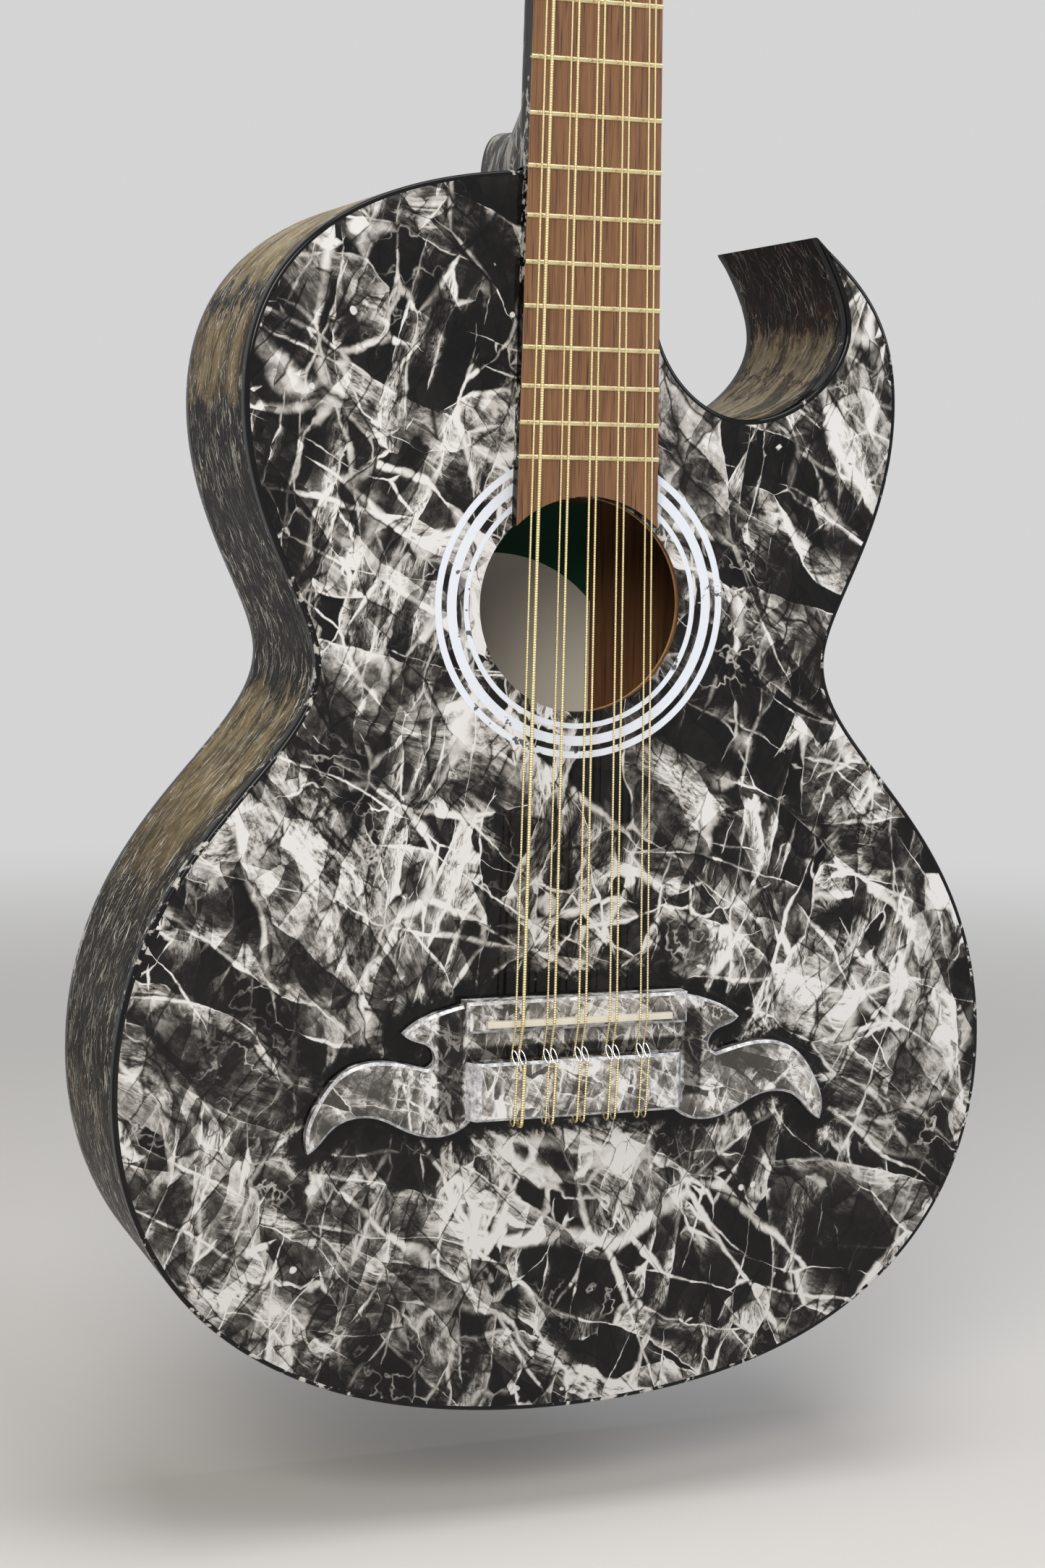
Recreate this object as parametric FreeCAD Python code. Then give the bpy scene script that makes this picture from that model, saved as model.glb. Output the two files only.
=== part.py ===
import FreeCAD, Part
import math
import os
from FreeCAD import Vector

# Bajo quinto: a ten-string acoustic guitar with a sharp cutaway, standing on its tail end.
# Lengths are in mm. The pieces are modelled about the saddle line: X to the right as the
# soundboard is faced, Y into the sound box from the soundboard's face, Z up along the neck.
# write() then moves every piece so that the origin is on the back of the neck, at the cradle.

# Scale, body joint and cradle
scale_length = 740.0
joint_fret = 12
fret_count = 19
cradle_below_nut = 24.0

# Sound box outline: half widths, with the lower bout's place up from the tail and the waist's
# and upper bout's down from the body joint. The pulls are shares that round each stretch.
body_length = 550.0
lower_bout_half = 207.0
lower_bout_up = 155.0
waist_half = 120.0
waist_down = 213.0
upper_bout_half = 152.0
upper_bout_down = 100.0
tail_pull = 0.68
lower_pull_down = 0.57
lower_pull_up = 0.58
waist_pull_down = 0.24
waist_pull_up = 0.22
upper_pull_down = 0.48
upper_pull_up = 0.57
shoulder_pull = 0.74

# Cutaway: the horn's tip and the hollow, in from the upper bout's side and down from the body
# joint, and the wall beside the neck
horn_tip_in = 42.4
horn_tip_down = 22.8
horn_outer_angle = 39.2
horn_outer_pull = 27.0
horn_rise_pull = 45.0
horn_inner_angle = 56.7
horn_inner_pull = 12.7
hollow_side_in = 26.0
hollow_side_down = 63.0
hollow_floor_in = 74.2
hollow_floor_down = 104.4
hollow_neck_gap = 1.9
hollow_neck_down = 56.5

# Sound box walls
box_depth = 108.0
soundboard_thickness = 2.8
back_thickness = 3.0
side_thickness = 2.2
binding_height = 6.0
lining_width = 6.0
lining_height = 13.0
soundhole_radius = 47.0
soundhole_below_joint = 187.1
ring_bands = [(5.0, 2.4), (10.6, 4.4), (17.4, 3.1)]
ring_depth = 1.2
patch_width = 13.0
patch_thickness = 2.0
bar_width = 9.0
bar_height = 13.0
bar_gap = 4.0
bridge_bar_below_saddle = 92.0
short_bar_below_block = 25.0
back_brace_height = 15.0
back_brace_width = 10.0
back_braces_down = [134.0, 295.0, 452.0]
label_width = 92.0
label_height = 112.0
label_thickness = 0.3
label_below_soundhole = 12.0
neck_block_half = 44.0
neck_block_length = 46.0
tail_block_half = 48.0
tail_block_length = 22.0
end_pin_radius = 4.5
end_pin_head_radius = 8.0
end_pin_depth = 18.0
fit_gap = 0.05

# Neck and fretboard
nut_half = 25.2
fretboard_half_at_joint = 30.7
fretboard_thickness = 6.1
fretboard_hole_gap = 0.6
neck_depth_nut = 15.0
neck_depth_joint = 18.0
neck_belly_pull = 0.78
neck_bar_width = 6.0
neck_bar_depth = 9.0
neck_bar_end_gap = 14.0
tenon_half = 12.0
tenon_length = 18.0
tenon_start = 10.0
tenon_end = 84.0
heel_cap_thickness = 3.0
heel_top_length = 58.0
heel_waist_length = 25.0
heel_foot_length = 28.0
heel_foot_half = 12.5
fret_width = 2.4
fret_height = 1.0
fret_tang_width = 0.6
fret_tang_depth = 1.8

# Nut, saddle and strings
nut_thickness = 5.5
nut_above_frets = 0.5
nut_lip = 0.6
saddle_above_frets = 4.7
saddle_seat = 1.0
saddle_half = 44.0
saddle_thickness = 3.0
course_pitch_saddle = 14.8
course_pitch_nut = 9.6
pair_gap_saddle = 3.3
pair_gap_nut = 2.6
string_diameters = [(0.9, 1.6), (0.8, 1.2), (1.0, 1.0), (0.9, 0.9), (0.8, 0.8)]
tie_slant = 1.1
string_bend = 2.2
post_wrap_degrees = 285.0

# Bridge
wing_thickness = 5.0
bridge_bevel = 1.3
slab_half = 52.5
slab_above_saddle = 10.0
slab_below_saddle = 4.0
slab_thickness = 9.0
wing_reach = 123.4
wing_drop = 54.0
wing_inset = 3.0
tie_block_half = 47.5
tie_block_splay = 7.0
tie_block_top_below = 17.0
tie_block_bottom_below = 43.0
tie_block_thickness = 12.0
tie_hole_radius = 1.2
tie_hole_above_wing = 2.4
bridge_plate_half = 130.0
bridge_plate_length = 66.0
bridge_plate_thickness = 3.0

# Headstock, tilted back from the nut, and its ten machines. Its own frame has Y = 0 on the
# veneer's face and Z = 0 at the nut's far edge.
head_tilt = 15.0
veneer_thickness = 2.0
head_thickness = 15.0
head_root = 15.0
head_flare_past_post = 13.0
head_flare_up = 24.0
head_side_past_post = 18.0
head_shoulder_past_post = 10.0
head_peak_half = 22.0
head_peak_rise = 22.0
head_dip = 10.0
string_rise = 3.4
machine_count = 5
first_post_up = 34.0
post_pitch = 33.0
post_out = 24.0
post_radius = 3.0
post_reach = 9.0
post_string_gap = 0.35
bushing_radius = 4.6
bushing_lip = 1.4
bushing_lip_radius = 5.6
plate_thickness = 1.2
plate_half = 8.6
plate_margin = 5.0
wheel_lift = 1.2
wheel_thickness = 4.0
wheel_radius = 6.2
wheel_root_radius = 5.1
wheel_teeth = 14
worm_radius = 2.7
worm_root_radius = 2.0
worm_threads = 4
mesh_gap = 0.3
shaft_radius = 1.6
ear_thickness = 2.0
ear_half = 3.6
ear_gap = 0.2
ear_centre_out = 6.6
key_start_gap = 3.0
key_length = 17.0
key_half = 8.0
key_thickness = 7.0
key_round = 2.4
key_boss = 2.0
collar_thickness = 1.2
wheel_screw_height = 1.4
screw_slot = 0.6
screw_gap = 3.7
screw_head_radius = 2.3
screw_head_height = 1.3
screw_radius = 1.2
screw_length = 10.0

joint_z = scale_length / 2 ** (joint_fret / 12)
tail_z = joint_z - body_length
nut_z = scale_length
soundhole_z = joint_z - soundhole_below_joint
patch_radius = soundhole_radius + patch_width
nut_seat = fretboard_thickness + fret_height + nut_above_frets
saddle_top = fretboard_thickness + fret_height + saddle_above_frets
tie_hole_height = wing_thickness + tie_hole_above_wing
head_top_half = post_out + head_side_past_post


def at(x, z, y=0.0):
    return Vector(x, y, z)


def box(x0, x1, y0, y1, z0, z1):
    return Part.makeBox(x1 - x0, y1 - y0, z1 - z0, Vector(x0, y0, z0))


def rod(start, end, radius):
    along = end - start
    return Part.makeCylinder(radius, along.Length, start, along)


def lineTo(start, end):
    return Part.LineSegment(start, end).toShape()


def curveTo(start, pull_start, pull_end, end):
    curve = Part.BezierCurve()
    curve.setPoles([start, pull_start, pull_end, end])
    return curve.toShape()


def smoothThrough(points):
    curve = Part.BSplineCurve()
    curve.interpolate([at(x, z) for x, z in points])
    return curve.toShape()


def slabOf(edges, y0, y1):
    face = Part.Face(Part.Wire(Part.__sortEdges__(edges)))
    face.translate(Vector(0, y0, 0))
    return face.extrude(Vector(0, y1 - y0, 0))


# ---------------------------------------------------------------- sound box

def boutCurve(start, end, pull_start, pull_end):
    rise = end.z - start.z
    return curveTo(start, start + at(0, pull_start * rise), end - at(0, pull_end * rise), end)


def lowerHalfEdges(side):
    tail = at(0, tail_z)
    lower = at(side * lower_bout_half, tail_z + lower_bout_up)
    waist = at(side * waist_half, joint_z - waist_down)
    return [
        curveTo(tail, at(side * tail_pull * lower_bout_half, tail_z),
                lower - at(0, lower_pull_down * lower_bout_up), lower),
        boutCurve(lower, waist, lower_pull_up, waist_pull_down),
        boutCurve(waist, upperBout(side), waist_pull_up, upper_pull_down),
    ]


def upperBout(side):
    return at(side * upper_bout_half, joint_z - upper_bout_down)


def bassShoulderEdges():
    upper = upperBout(-1)
    top = at(0, joint_z)
    return [curveTo(upper, upper + at(0, upper_pull_up * upper_bout_down),
                    top - at(shoulder_pull * upper_bout_half, 0), top)]


def hollowNeckHalf():
    return fretboardHalf(joint_z) + hollow_neck_gap


def hornTip():
    return at(upper_bout_half - horn_tip_in, joint_z - horn_tip_down)


def fromTip(angle, reach):
    turn = math.radians(angle)
    return hornTip() + at(reach * math.cos(turn), -reach * math.sin(turn))


def cutawayEdges():
    # From the upper bout up to the horn's tip, back down the hollow and up beside the neck
    upper = upperBout(1)
    side = at(upper_bout_half - hollow_side_in, joint_z - hollow_side_down)
    floor = at(upper_bout_half - hollow_floor_in, joint_z - hollow_floor_down)
    beside = at(hollowNeckHalf(), joint_z - hollow_neck_down)
    corner = at(fretboardHalf(joint_z), joint_z)
    drop = side.z - floor.z
    turn = 0.5 * (side.x - floor.x)
    rise = 0.5 * (beside.z - floor.z)
    reach = 0.52 * (floor.x - beside.x)
    return [
        curveTo(upper, upper + at(0, horn_rise_pull), fromTip(horn_outer_angle, horn_outer_pull), hornTip()),
        curveTo(hornTip(), fromTip(horn_inner_angle, horn_inner_pull),
                side + at(0, 0.34 * (hollow_side_down - horn_tip_down)), side),
        curveTo(side, side - at(0, 0.47 * drop), floor + at(turn, 0), floor),
        curveTo(floor, floor - at(reach, 0), beside - at(0, rise), beside),
        lineTo(beside, corner),
        lineTo(corner, at(0, joint_z)),
    ]


def boxPrism(inset, y0, y1):
    # The sound box's outline, moved inwards by inset, from depth y0 to depth y1
    edges = lowerHalfEdges(-1) + bassShoulderEdges() + lowerHalfEdges(1) + cutawayEdges()
    face = Part.Face(Part.Wire(Part.__sortEdges__(edges)))
    if inset > 0:
        moved_in = face.makeOffset2D(-inset, 2).Wires[0]
        face = Part.Face(Part.Wire([edge.toNurbs().Edges[0] for edge in Part.__sortEdges__(moved_in.Edges)]))
    face.translate(Vector(0, y0, 0))
    return face.extrude(Vector(0, y1 - y0, 0))


def ringPrism(outer, inner, y0, y1):
    return boxPrism(outer, y0, y1).cut(boxPrism(inner, y0, y1))


def blockSlot():
    # The slot that the neck's tenon fills, through the side and into the neck block
    half = tenon_half + fit_gap
    return box(-half, half, tenon_start - fit_gap, tenon_end + fit_gap,
               joint_z - tenon_length - fit_gap, joint_z + 1)


def cutawayRegion():
    # Everything on the neck's side of the horn's mitre
    mitre = 0.5 * (horn_outer_angle + horn_inner_angle)
    inner = fromTip(mitre, -0.5 * hollow_floor_down)
    outer = fromTip(mitre, 0.38 * hollow_floor_down)
    floor_z = joint_z - hollow_floor_down - 3 * side_thickness
    corners = [inner, outer, at(outer.x, floor_z), at(0, floor_z), at(0, inner.z)]
    edges = [lineTo(a, b) for a, b in zip(corners, corners[1:] + corners[:1])]
    return slabOf(edges, 0, box_depth)


def sides():
    y0 = binding_height
    y1 = box_depth - binding_height
    ring = ringPrism(0, side_thickness, y0, y1).cut(blockSlot()).cut(endPinHole())
    reach = 2 * lower_bout_half
    bass_half = box(-reach, 0, 0, box_depth, tail_z - 1, joint_z + 1)
    treble_half = box(0, reach, 0, box_depth, tail_z - 1, joint_z + 1)
    region = cutawayRegion()
    write("bass_side", ring.common(bass_half))
    write("treble_side", ring.common(treble_half).cut(region))
    write("cutaway_side", ring.common(treble_half).common(region))


def bindings():
    write("front_binding", ringPrism(0, side_thickness, 0, binding_height))
    write("back_binding", ringPrism(0, side_thickness, box_depth - binding_height, box_depth))


def linings():
    inner = side_thickness + lining_width
    front = soundboard_thickness
    rear = box_depth - back_thickness
    blocks = neckBlockBlank().fuse(tailBlockBlank())
    top = ringPrism(side_thickness, inner, front, front + lining_height).cut(blocks)
    back = ringPrism(side_thickness, inner, rear - lining_height, rear).cut(blocks)
    write("soundboard_lining", top)
    write("back_lining", back)


def neckBlockBlank():
    y0 = soundboard_thickness
    y1 = box_depth - back_thickness
    space = box(-neck_block_half, hollowNeckHalf(), y0, y1, joint_z - neck_block_length, joint_z + 1)
    return boxPrism(side_thickness, y0, y1).common(space)


def tailBlockBlank():
    y0 = soundboard_thickness
    y1 = box_depth - back_thickness
    space = box(-tail_block_half, tail_block_half, y0, y1, tail_z - 1, tail_z + tail_block_length)
    return boxPrism(side_thickness, y0, y1).common(space)


def endPinHole():
    y = box_depth / 2
    radius = end_pin_radius + fit_gap
    return rod(at(0, tail_z - 1, y), at(0, tail_z + end_pin_depth + fit_gap, y), radius)


def blocks():
    write("neck_block", neckBlockBlank().cut(blockSlot()))
    write("tail_block", tailBlockBlank().cut(endPinHole()))


def endPin():
    # Turned pin: a shank in the tail block, a flange on the side and a waisted head for a strap
    head = end_pin_head_radius
    shank = [(0, end_pin_depth), (end_pin_radius, end_pin_depth), (end_pin_radius, 0)]
    turned = [(0.8, 0), (0.8, -0.25), (0.55, -0.44), (0.55, -1.0), (1.0, -1.31), (1.0, -1.56),
              (0.7, -1.75), (0, -1.75)]
    profile = shank + [(head * r, head * z) for r, z in turned]
    points = [at(r, tail_z + z, box_depth / 2) for r, z in profile]
    face = Part.Face(Part.makePolygon(points + points[:1]))
    write("end_pin", face.revolve(at(0, tail_z, box_depth / 2), Vector(0, 0, 1), 360))


def soundhole(y0, y1, radius):
    return rod(at(0, soundhole_z, y0), at(0, soundhole_z, y1), radius)


def ringAt(inner, outer, y0, y1):
    return soundhole(y0, y1, outer).cut(soundhole(y0, y1, inner))


def plates():
    rings = []
    for gap, width in ring_bands:
        inner = soundhole_radius + gap
        rings.append(ringAt(inner, inner + width, 0, ring_depth))
    board = boxPrism(side_thickness, 0, soundboard_thickness)
    board = board.cut(soundhole(-1, soundboard_thickness + 1, soundhole_radius))
    for ring in rings:
        board = board.cut(ring)
    write("soundboard", board)
    write("rosette_rings", Part.makeCompound(rings))
    write("back_plate", boxPrism(side_thickness, box_depth - back_thickness, box_depth))


def braces():
    front = soundboard_thickness
    rear = box_depth - back_thickness
    reach = 2 * lower_bout_half
    space = boxPrism(side_thickness + lining_width, front, rear)
    beside_patch = patch_radius + bar_gap + bar_width / 2
    short_z = joint_z - neck_block_length - short_bar_below_block
    spans = [(reach, soundhole_z + beside_patch), (reach, soundhole_z - beside_patch),
             (reach, -bridge_bar_below_saddle), (hollowNeckHalf(), short_z)]
    bars = [box(-reach, end, front, front + bar_height, z - bar_width / 2, z + bar_width / 2)
            for end, z in spans]
    ribs = []
    for down in back_braces_down:
        top = joint_z - down + back_brace_width / 2
        ribs.append(box(-reach, reach, rear - back_brace_height, rear, top - back_brace_width, top))
    write("soundboard_bars", Part.makeCompound([bar.common(space) for bar in bars]))
    write("back_braces", Part.makeCompound([rib.common(space) for rib in ribs]))
    write("soundhole_patch", ringAt(soundhole_radius, patch_radius, front, front + patch_thickness))
    middle = -0.5 * (tie_block_bottom_below - slab_above_saddle)
    write("bridge_plate", box(-bridge_plate_half, bridge_plate_half, front, front + bridge_plate_thickness,
                              middle - bridge_plate_length / 2, middle + bridge_plate_length / 2))


def label():
    top = soundhole_z - label_below_soundhole + label_height / 2
    rear = box_depth - back_thickness
    write("sound_label", box(-label_width / 2, label_width / 2, rear - label_thickness, rear,
                             top - label_height, top))


# ---------------------------------------------------------------- neck

def fretboardHalf(z):
    slope = (fretboard_half_at_joint - nut_half) / (nut_z - joint_z)
    return nut_half + slope * (nut_z - z)


def neckDepth(z):
    slope = (neck_depth_joint - neck_depth_nut) / (nut_z - joint_z)
    return neck_depth_nut + slope * (nut_z - z)


def shaftSection(z, z_shape):
    # A flat top under the fretboard and a rounded belly behind it
    half = fretboardHalf(z_shape)
    depth = neckDepth(z_shape)
    left = at(-half, z)
    right = at(half, z)
    bottom = at(0, z, depth)
    belly = neck_belly_pull * half
    side = Vector(0, neck_belly_pull * depth, 0)
    edges = [lineTo(left, right), curveTo(right, right + side, bottom + at(belly, 0), bottom),
             curveTo(bottom, bottom - at(belly, 0), left + side, left)]
    return Part.Wire(edges)


def heelSection(y, half, length):
    # A flat end against the sound box and a rounded outer end, at depth y
    left = at(-half, joint_z, y)
    right = at(half, joint_z, y)
    outer = at(0, joint_z + length, y)
    rise = at(0, 0.85 * length)
    spread = at(0.6 * half, 0)
    edges = [lineTo(left, right), curveTo(right, right + rise, outer + spread, outer),
             curveTo(outer, outer - spread, left + rise, left)]
    return Part.Wire(edges)


def heel():
    top_half = 0.96 * fretboardHalf(joint_z)
    foot = box_depth - heel_cap_thickness
    start = 0.35 * neck_depth_joint
    steps = [(start, top_half, heel_top_length),
             (1.25 * neck_depth_joint, 0.97 * top_half, 0.66 * heel_top_length),
             (0.38 * foot, 0.86 * top_half, 1.12 * heel_waist_length),
             (0.62 * foot, 0.62 * top_half, heel_waist_length),
             (0.84 * foot, 1.12 * heel_foot_half, 0.5 * (heel_waist_length + heel_foot_length)),
             (foot, heel_foot_half, heel_foot_length)]
    return Part.makeLoft([heelSection(y, half, length) for y, half, length in steps], True, False)


def neckBar(gap):
    half = neck_bar_width / 2 + gap
    return box(-half, half, 0, neck_bar_depth + gap, joint_z + neck_bar_end_gap - gap,
               nut_z - neck_bar_end_gap + gap)


def neckShaft():
    ends = [shaftSection(joint_z, joint_z), shaftSection(nut_z + nut_thickness, nut_z)]
    return Part.makeLoft(ends, True, True)


def neck():
    tenon = box(-tenon_half, tenon_half, tenon_start, tenon_end, joint_z - tenon_length, joint_z + 1)
    body = neckShaft().fuse(heel()).fuse(tenon).removeSplitter()
    write("neck", body.cut(neckBar(0)))
    write("neck_bar", neckBar(0))
    cap = Part.Face(heelSection(box_depth - heel_cap_thickness, heel_foot_half, heel_foot_length))
    write("heel_cap", cap.extrude(Vector(0, heel_cap_thickness, 0)))


def fretZ(number):
    return scale_length / 2 ** (number / 12)


def fretboardPlan(y0, y1):
    low = soundhole_z
    corners = [at(-fretboardHalf(low), low), at(fretboardHalf(low), low),
               at(nut_half, nut_z), at(-nut_half, nut_z)]
    edges = [lineTo(a, b) for a, b in zip(corners, corners[1:] + corners[:1])]
    hole = soundhole(y0 - 1, y1 + 1, soundhole_radius + fretboard_hole_gap)
    return slabOf(edges, y0, y1).cut(hole)


def fretAt(z, y_top):
    # A crown on the fretboard's face and a tang in its slot
    half_width = fret_width / 2
    radius = (fret_height ** 2 + half_width ** 2) / (2 * fret_height)
    half = fretboardHalf(z)
    centre = y_top - fret_height + radius
    crown = rod(at(-half, z, centre), at(half, z, centre), radius)
    crown = crown.common(box(-half, half, y_top - 2 * fret_height, y_top, z - half_width, z + half_width))
    return crown.fuse(fretTang(z, y_top, half)).removeSplitter()


def fretTang(z, y_top, half):
    return box(-half, half, y_top, y_top + fret_tang_depth, z - fret_tang_width / 2, z + fret_tang_width / 2)


def fretboard():
    y_top = -fretboard_thickness
    places = [fretZ(number) for number in range(1, fret_count + 1)]
    board = fretboardPlan(y_top, 0)
    for z in places:
        board = board.cut(fretTang(z, y_top, fretboardHalf(z) + fret_width))
    write("fretboard", board)
    write("frets", Part.makeCompound([fretAt(z, y_top) for z in places]))


# ---------------------------------------------------------------- strings and what they cross

def stringPlaces():
    # Each string: its course, radius, and its place across the saddle and across the nut
    places = []
    for course, pair in enumerate(string_diameters):
        middle = course - (len(string_diameters) - 1) / 2
        for side, diameter in zip((-1, 1), pair):
            saddle_x = middle * course_pitch_saddle + side * pair_gap_saddle / 2
            nut_x = middle * course_pitch_nut + side * pair_gap_nut / 2
            places.append((course, diameter / 2, saddle_x, nut_x))
    return places


def nut():
    top = nut_seat + nut_lip
    blank = box(-nut_half, nut_half, -top, 0, nut_z, nut_z + nut_thickness)
    for course, radius, saddle_x, nut_x in stringPlaces():
        y = -nut_seat - radius
        slope = (saddle_x - nut_x) / scale_length
        past = at(nut_x - slope * nut_thickness, nut_z + nut_thickness + 1, y)
        notch = rod(at(nut_x + slope, nut_z - 1, y), past, radius + fit_gap)
        blank = blank.cut(notch)
    write("nut", blank)


def saddleBlank(gap):
    half = saddle_thickness / 2 + gap
    floor = wing_thickness - saddle_seat
    return box(-saddle_half - gap, saddle_half + gap, -saddle_top, -floor + gap, -half, half)


def wingEdges(side):
    # Right or left half of the moustache outline, from the slab's end round the tip to the tie
    # block's foot. The points are shares of the wing's reach past the slab and of its drop.
    upper_lobe = [(0.169, 0.096), (0.303, 0.019), (0.388, -0.067)]
    hook = [(0.388, -0.067), (0.324, -0.126), (0.212, -0.193), (0.181, -0.287), (0.233, -0.361)]
    outer_lobe = [(0.233, -0.361), (0.416, -0.300), (0.599, -0.282), (0.797, -0.376), (0.931, -0.593),
                  (1.0, -0.815), (0.989, -1.0)]
    foot = [(0.989, -1.0), (0.910, -0.917), (0.818, -0.793), (0.693, -0.733), (0.543, -0.752),
            (0.398, -0.844), (0.251, -0.919), (0.106, -0.926)]
    stretches = []
    for stretch in (upper_lobe, hook, outer_lobe, foot):
        stretches.append([(slab_half + u * (wing_reach - slab_half), v * wing_drop) for u, v in stretch])
    stretches[0].insert(0, wingShoulder())
    stretches[3].append((tie_block_half, -tie_block_bottom_below))
    return [smoothThrough([(side * x, z) for x, z in stretch]) for stretch in stretches]


def wingShoulder():
    return (slab_half - wing_inset, slab_above_saddle - bridge_bevel)


def bevelFront(solid, thickness):
    rim = [edge for edge in solid.Edges if edge.BoundBox.YMax < fit_gap / 10 - thickness]
    return solid.makeChamfer(bridge_bevel, rim)


def tieBlock():
    # A block whose ends splay outwards to the wings
    front = -tie_block_thickness
    low = -tie_block_bottom_below
    foot = tie_block_half + tie_block_splay
    corners = [Vector(-tie_block_half, front, low), Vector(tie_block_half, front, low),
               Vector(foot, 0, low), Vector(-foot, 0, low)]
    face = Part.Face(Part.makePolygon(corners + corners[:1]))
    block = face.extrude(Vector(0, 0, tie_block_bottom_below - tie_block_top_below))
    return bevelFront(block, tie_block_thickness)


def bridge():
    low = -tie_block_bottom_below
    edges = wingEdges(1) + wingEdges(-1)
    shoulder_x, shoulder_z = wingShoulder()
    edges.append(lineTo(at(-shoulder_x, shoulder_z), at(shoulder_x, shoulder_z)))
    edges.append(lineTo(at(-tie_block_half, low), at(tie_block_half, low)))
    wings = bevelFront(slabOf(edges, -wing_thickness, 0), wing_thickness)
    slab = box(-slab_half, slab_half, -slab_thickness, 0, -slab_below_saddle, slab_above_saddle)
    wood = wings.fuse(bevelFront(slab, slab_thickness)).fuse(tieBlock()).removeSplitter()
    for course, radius, saddle_x, nut_x in stringPlaces():
        end = at(saddle_x, 1 - tie_block_top_below, -tie_hole_height)
        hole = rod(at(saddle_x, low - 1, -tie_hole_height), end, tie_hole_radius)
        wood = wood.cut(hole)
    write("bridge", wood.cut(saddleBlank(0)))
    write("saddle", saddleBlank(0))


# ---------------------------------------------------------------- headstock and machines

def intoPlace(shape):
    # From the headstock's own frame to the guitar's
    moved = shape.copy()
    moved.rotate(Vector(0, 0, 0), Vector(1, 0, 0), -head_tilt)
    moved.translate(headRoot())
    return moved


def headRoot():
    return at(0, nut_z + nut_thickness, string_rise - nut_seat)


def headPoint(x, z, y):
    tilt = math.radians(head_tilt)
    turned = Vector(x, y * math.cos(tilt) + z * math.sin(tilt), z * math.cos(tilt) - y * math.sin(tilt))
    return headRoot() + turned


def headPlan(y0, y1):
    low = -head_root
    edges = []
    for side in (-1, 1):
        root = at(side * nut_half, 0)
        flare = at(side * (post_out + head_flare_past_post), head_flare_up)
        shoulder = at(side * head_top_half, postUp(machine_count - 1) + head_shoulder_past_post)
        peak = at(side * head_peak_half, shoulder.z + head_peak_rise)
        dip = at(0, peak.z - head_dip)
        lift = 0.5 * head_flare_up
        edges.append(lineTo(at(side * nut_half, low), root))
        edges.append(curveTo(root, root + at(0, lift), flare - at(0, lift), flare))
        edges.append(lineTo(flare, shoulder))
        rise = head_peak_rise
        edges.append(curveTo(shoulder, shoulder + at(0, 0.6 * rise), peak + at(side * 0.4 * rise, 0), peak))
        edges.append(curveTo(peak, peak - at(side * 0.4 * rise, 0), dip + at(side * 0.6 * rise, 0), dip))
    edges.append(lineTo(at(-nut_half, low), at(nut_half, low)))
    return slabOf(edges, y0, y1)


def postUp(index):
    return first_post_up + index * post_pitch


def screwUps():
    # One screw before the first wheel and one past each worm's ears
    ups = [wormUp(index) + ear_half + screw_gap for index in range(machine_count)]
    return [postUp(0) - wheel_radius - screw_gap] + ups


def machinePlaces():
    return [(side, index) for side in (-1, 1) for index in range(machine_count)]


def acrossHead(side, index, radius, y0, y1):
    x = side * post_out
    z = postUp(index)
    return rod(at(x, z, y0), at(x, z, y1), radius)


def headstock():
    rear = veneer_thickness + head_thickness
    wood = headPlan(veneer_thickness, rear)
    veneer = headPlan(0, veneer_thickness)
    veneer = veneer.cut(box(-nut_half - 1, nut_half + 1, -1, veneer_thickness + 1, -head_root - 1, 0))
    for side, index in machinePlaces():
        hole = acrossHead(side, index, bushing_radius, -1, rear + 1)
        wood = wood.cut(hole)
        veneer = veneer.cut(hole)
    for side in (-1, 1):
        for up in screwUps():
            x = side * post_out
            wood = wood.cut(rod(at(x, up, rear - screw_length), at(x, up, rear + 1), screw_radius))
    nut_end = nut_z + nut_thickness
    under_nut = box(-2 * nut_half, 2 * nut_half, -2 * nut_seat, 0, nut_z - 2 * head_root, nut_end)
    write("headstock", intoPlace(wood).cut(neckShaft()).cut(under_nut))
    write("headstock_veneer", intoPlace(veneer).cut(under_nut))


def bushings():
    rear = veneer_thickness + head_thickness
    rings = []
    for side, index in machinePlaces():
        sleeve = acrossHead(side, index, bushing_radius, 0, rear)
        lip = acrossHead(side, index, bushing_lip_radius, -bushing_lip, 0)
        bore = acrossHead(side, index, post_radius + fit_gap, -bushing_lip - 1, rear + 1)
        rings.append(intoPlace(sleeve.fuse(lip).removeSplitter().cut(bore)))
    write("post_bushings", Part.makeCompound(rings))


def wormUp(index):
    return postUp(index) + wheel_radius + worm_radius + mesh_gap


def wormY():
    return veneer_thickness + head_thickness + plate_thickness + wheel_lift + wheel_thickness / 2


def machinePlate(side):
    y0 = veneer_thickness + head_thickness
    y1 = y0 + plate_thickness
    x = side * post_out
    ups = screwUps()
    plate = box(x - plate_half, x + plate_half, y0, y1, ups[0] - plate_margin, ups[-1] + plate_margin)
    for index in range(machine_count):
        up = wormUp(index)
        for end in (-1, 1):
            ear_x = x + end * ear_centre_out
            ear = box(ear_x - ear_thickness / 2, ear_x + ear_thickness / 2, y1, wormY() + ear_half,
                      up - ear_half, up + ear_half)
            plate = plate.fuse(ear)
        bore = rod(at(x - plate_half, up, wormY()), at(x + plate_half, up, wormY()), shaft_radius + fit_gap)
        plate = plate.cut(bore).cut(acrossHead(side, index, post_radius + fit_gap, y0 - 1, y1 + 1))
    for up in ups:
        plate = plate.cut(rod(at(x, up, y0 - 1), at(x, up, y1 + 1), screw_radius))
    return intoPlace(plate.removeSplitter())


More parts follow.
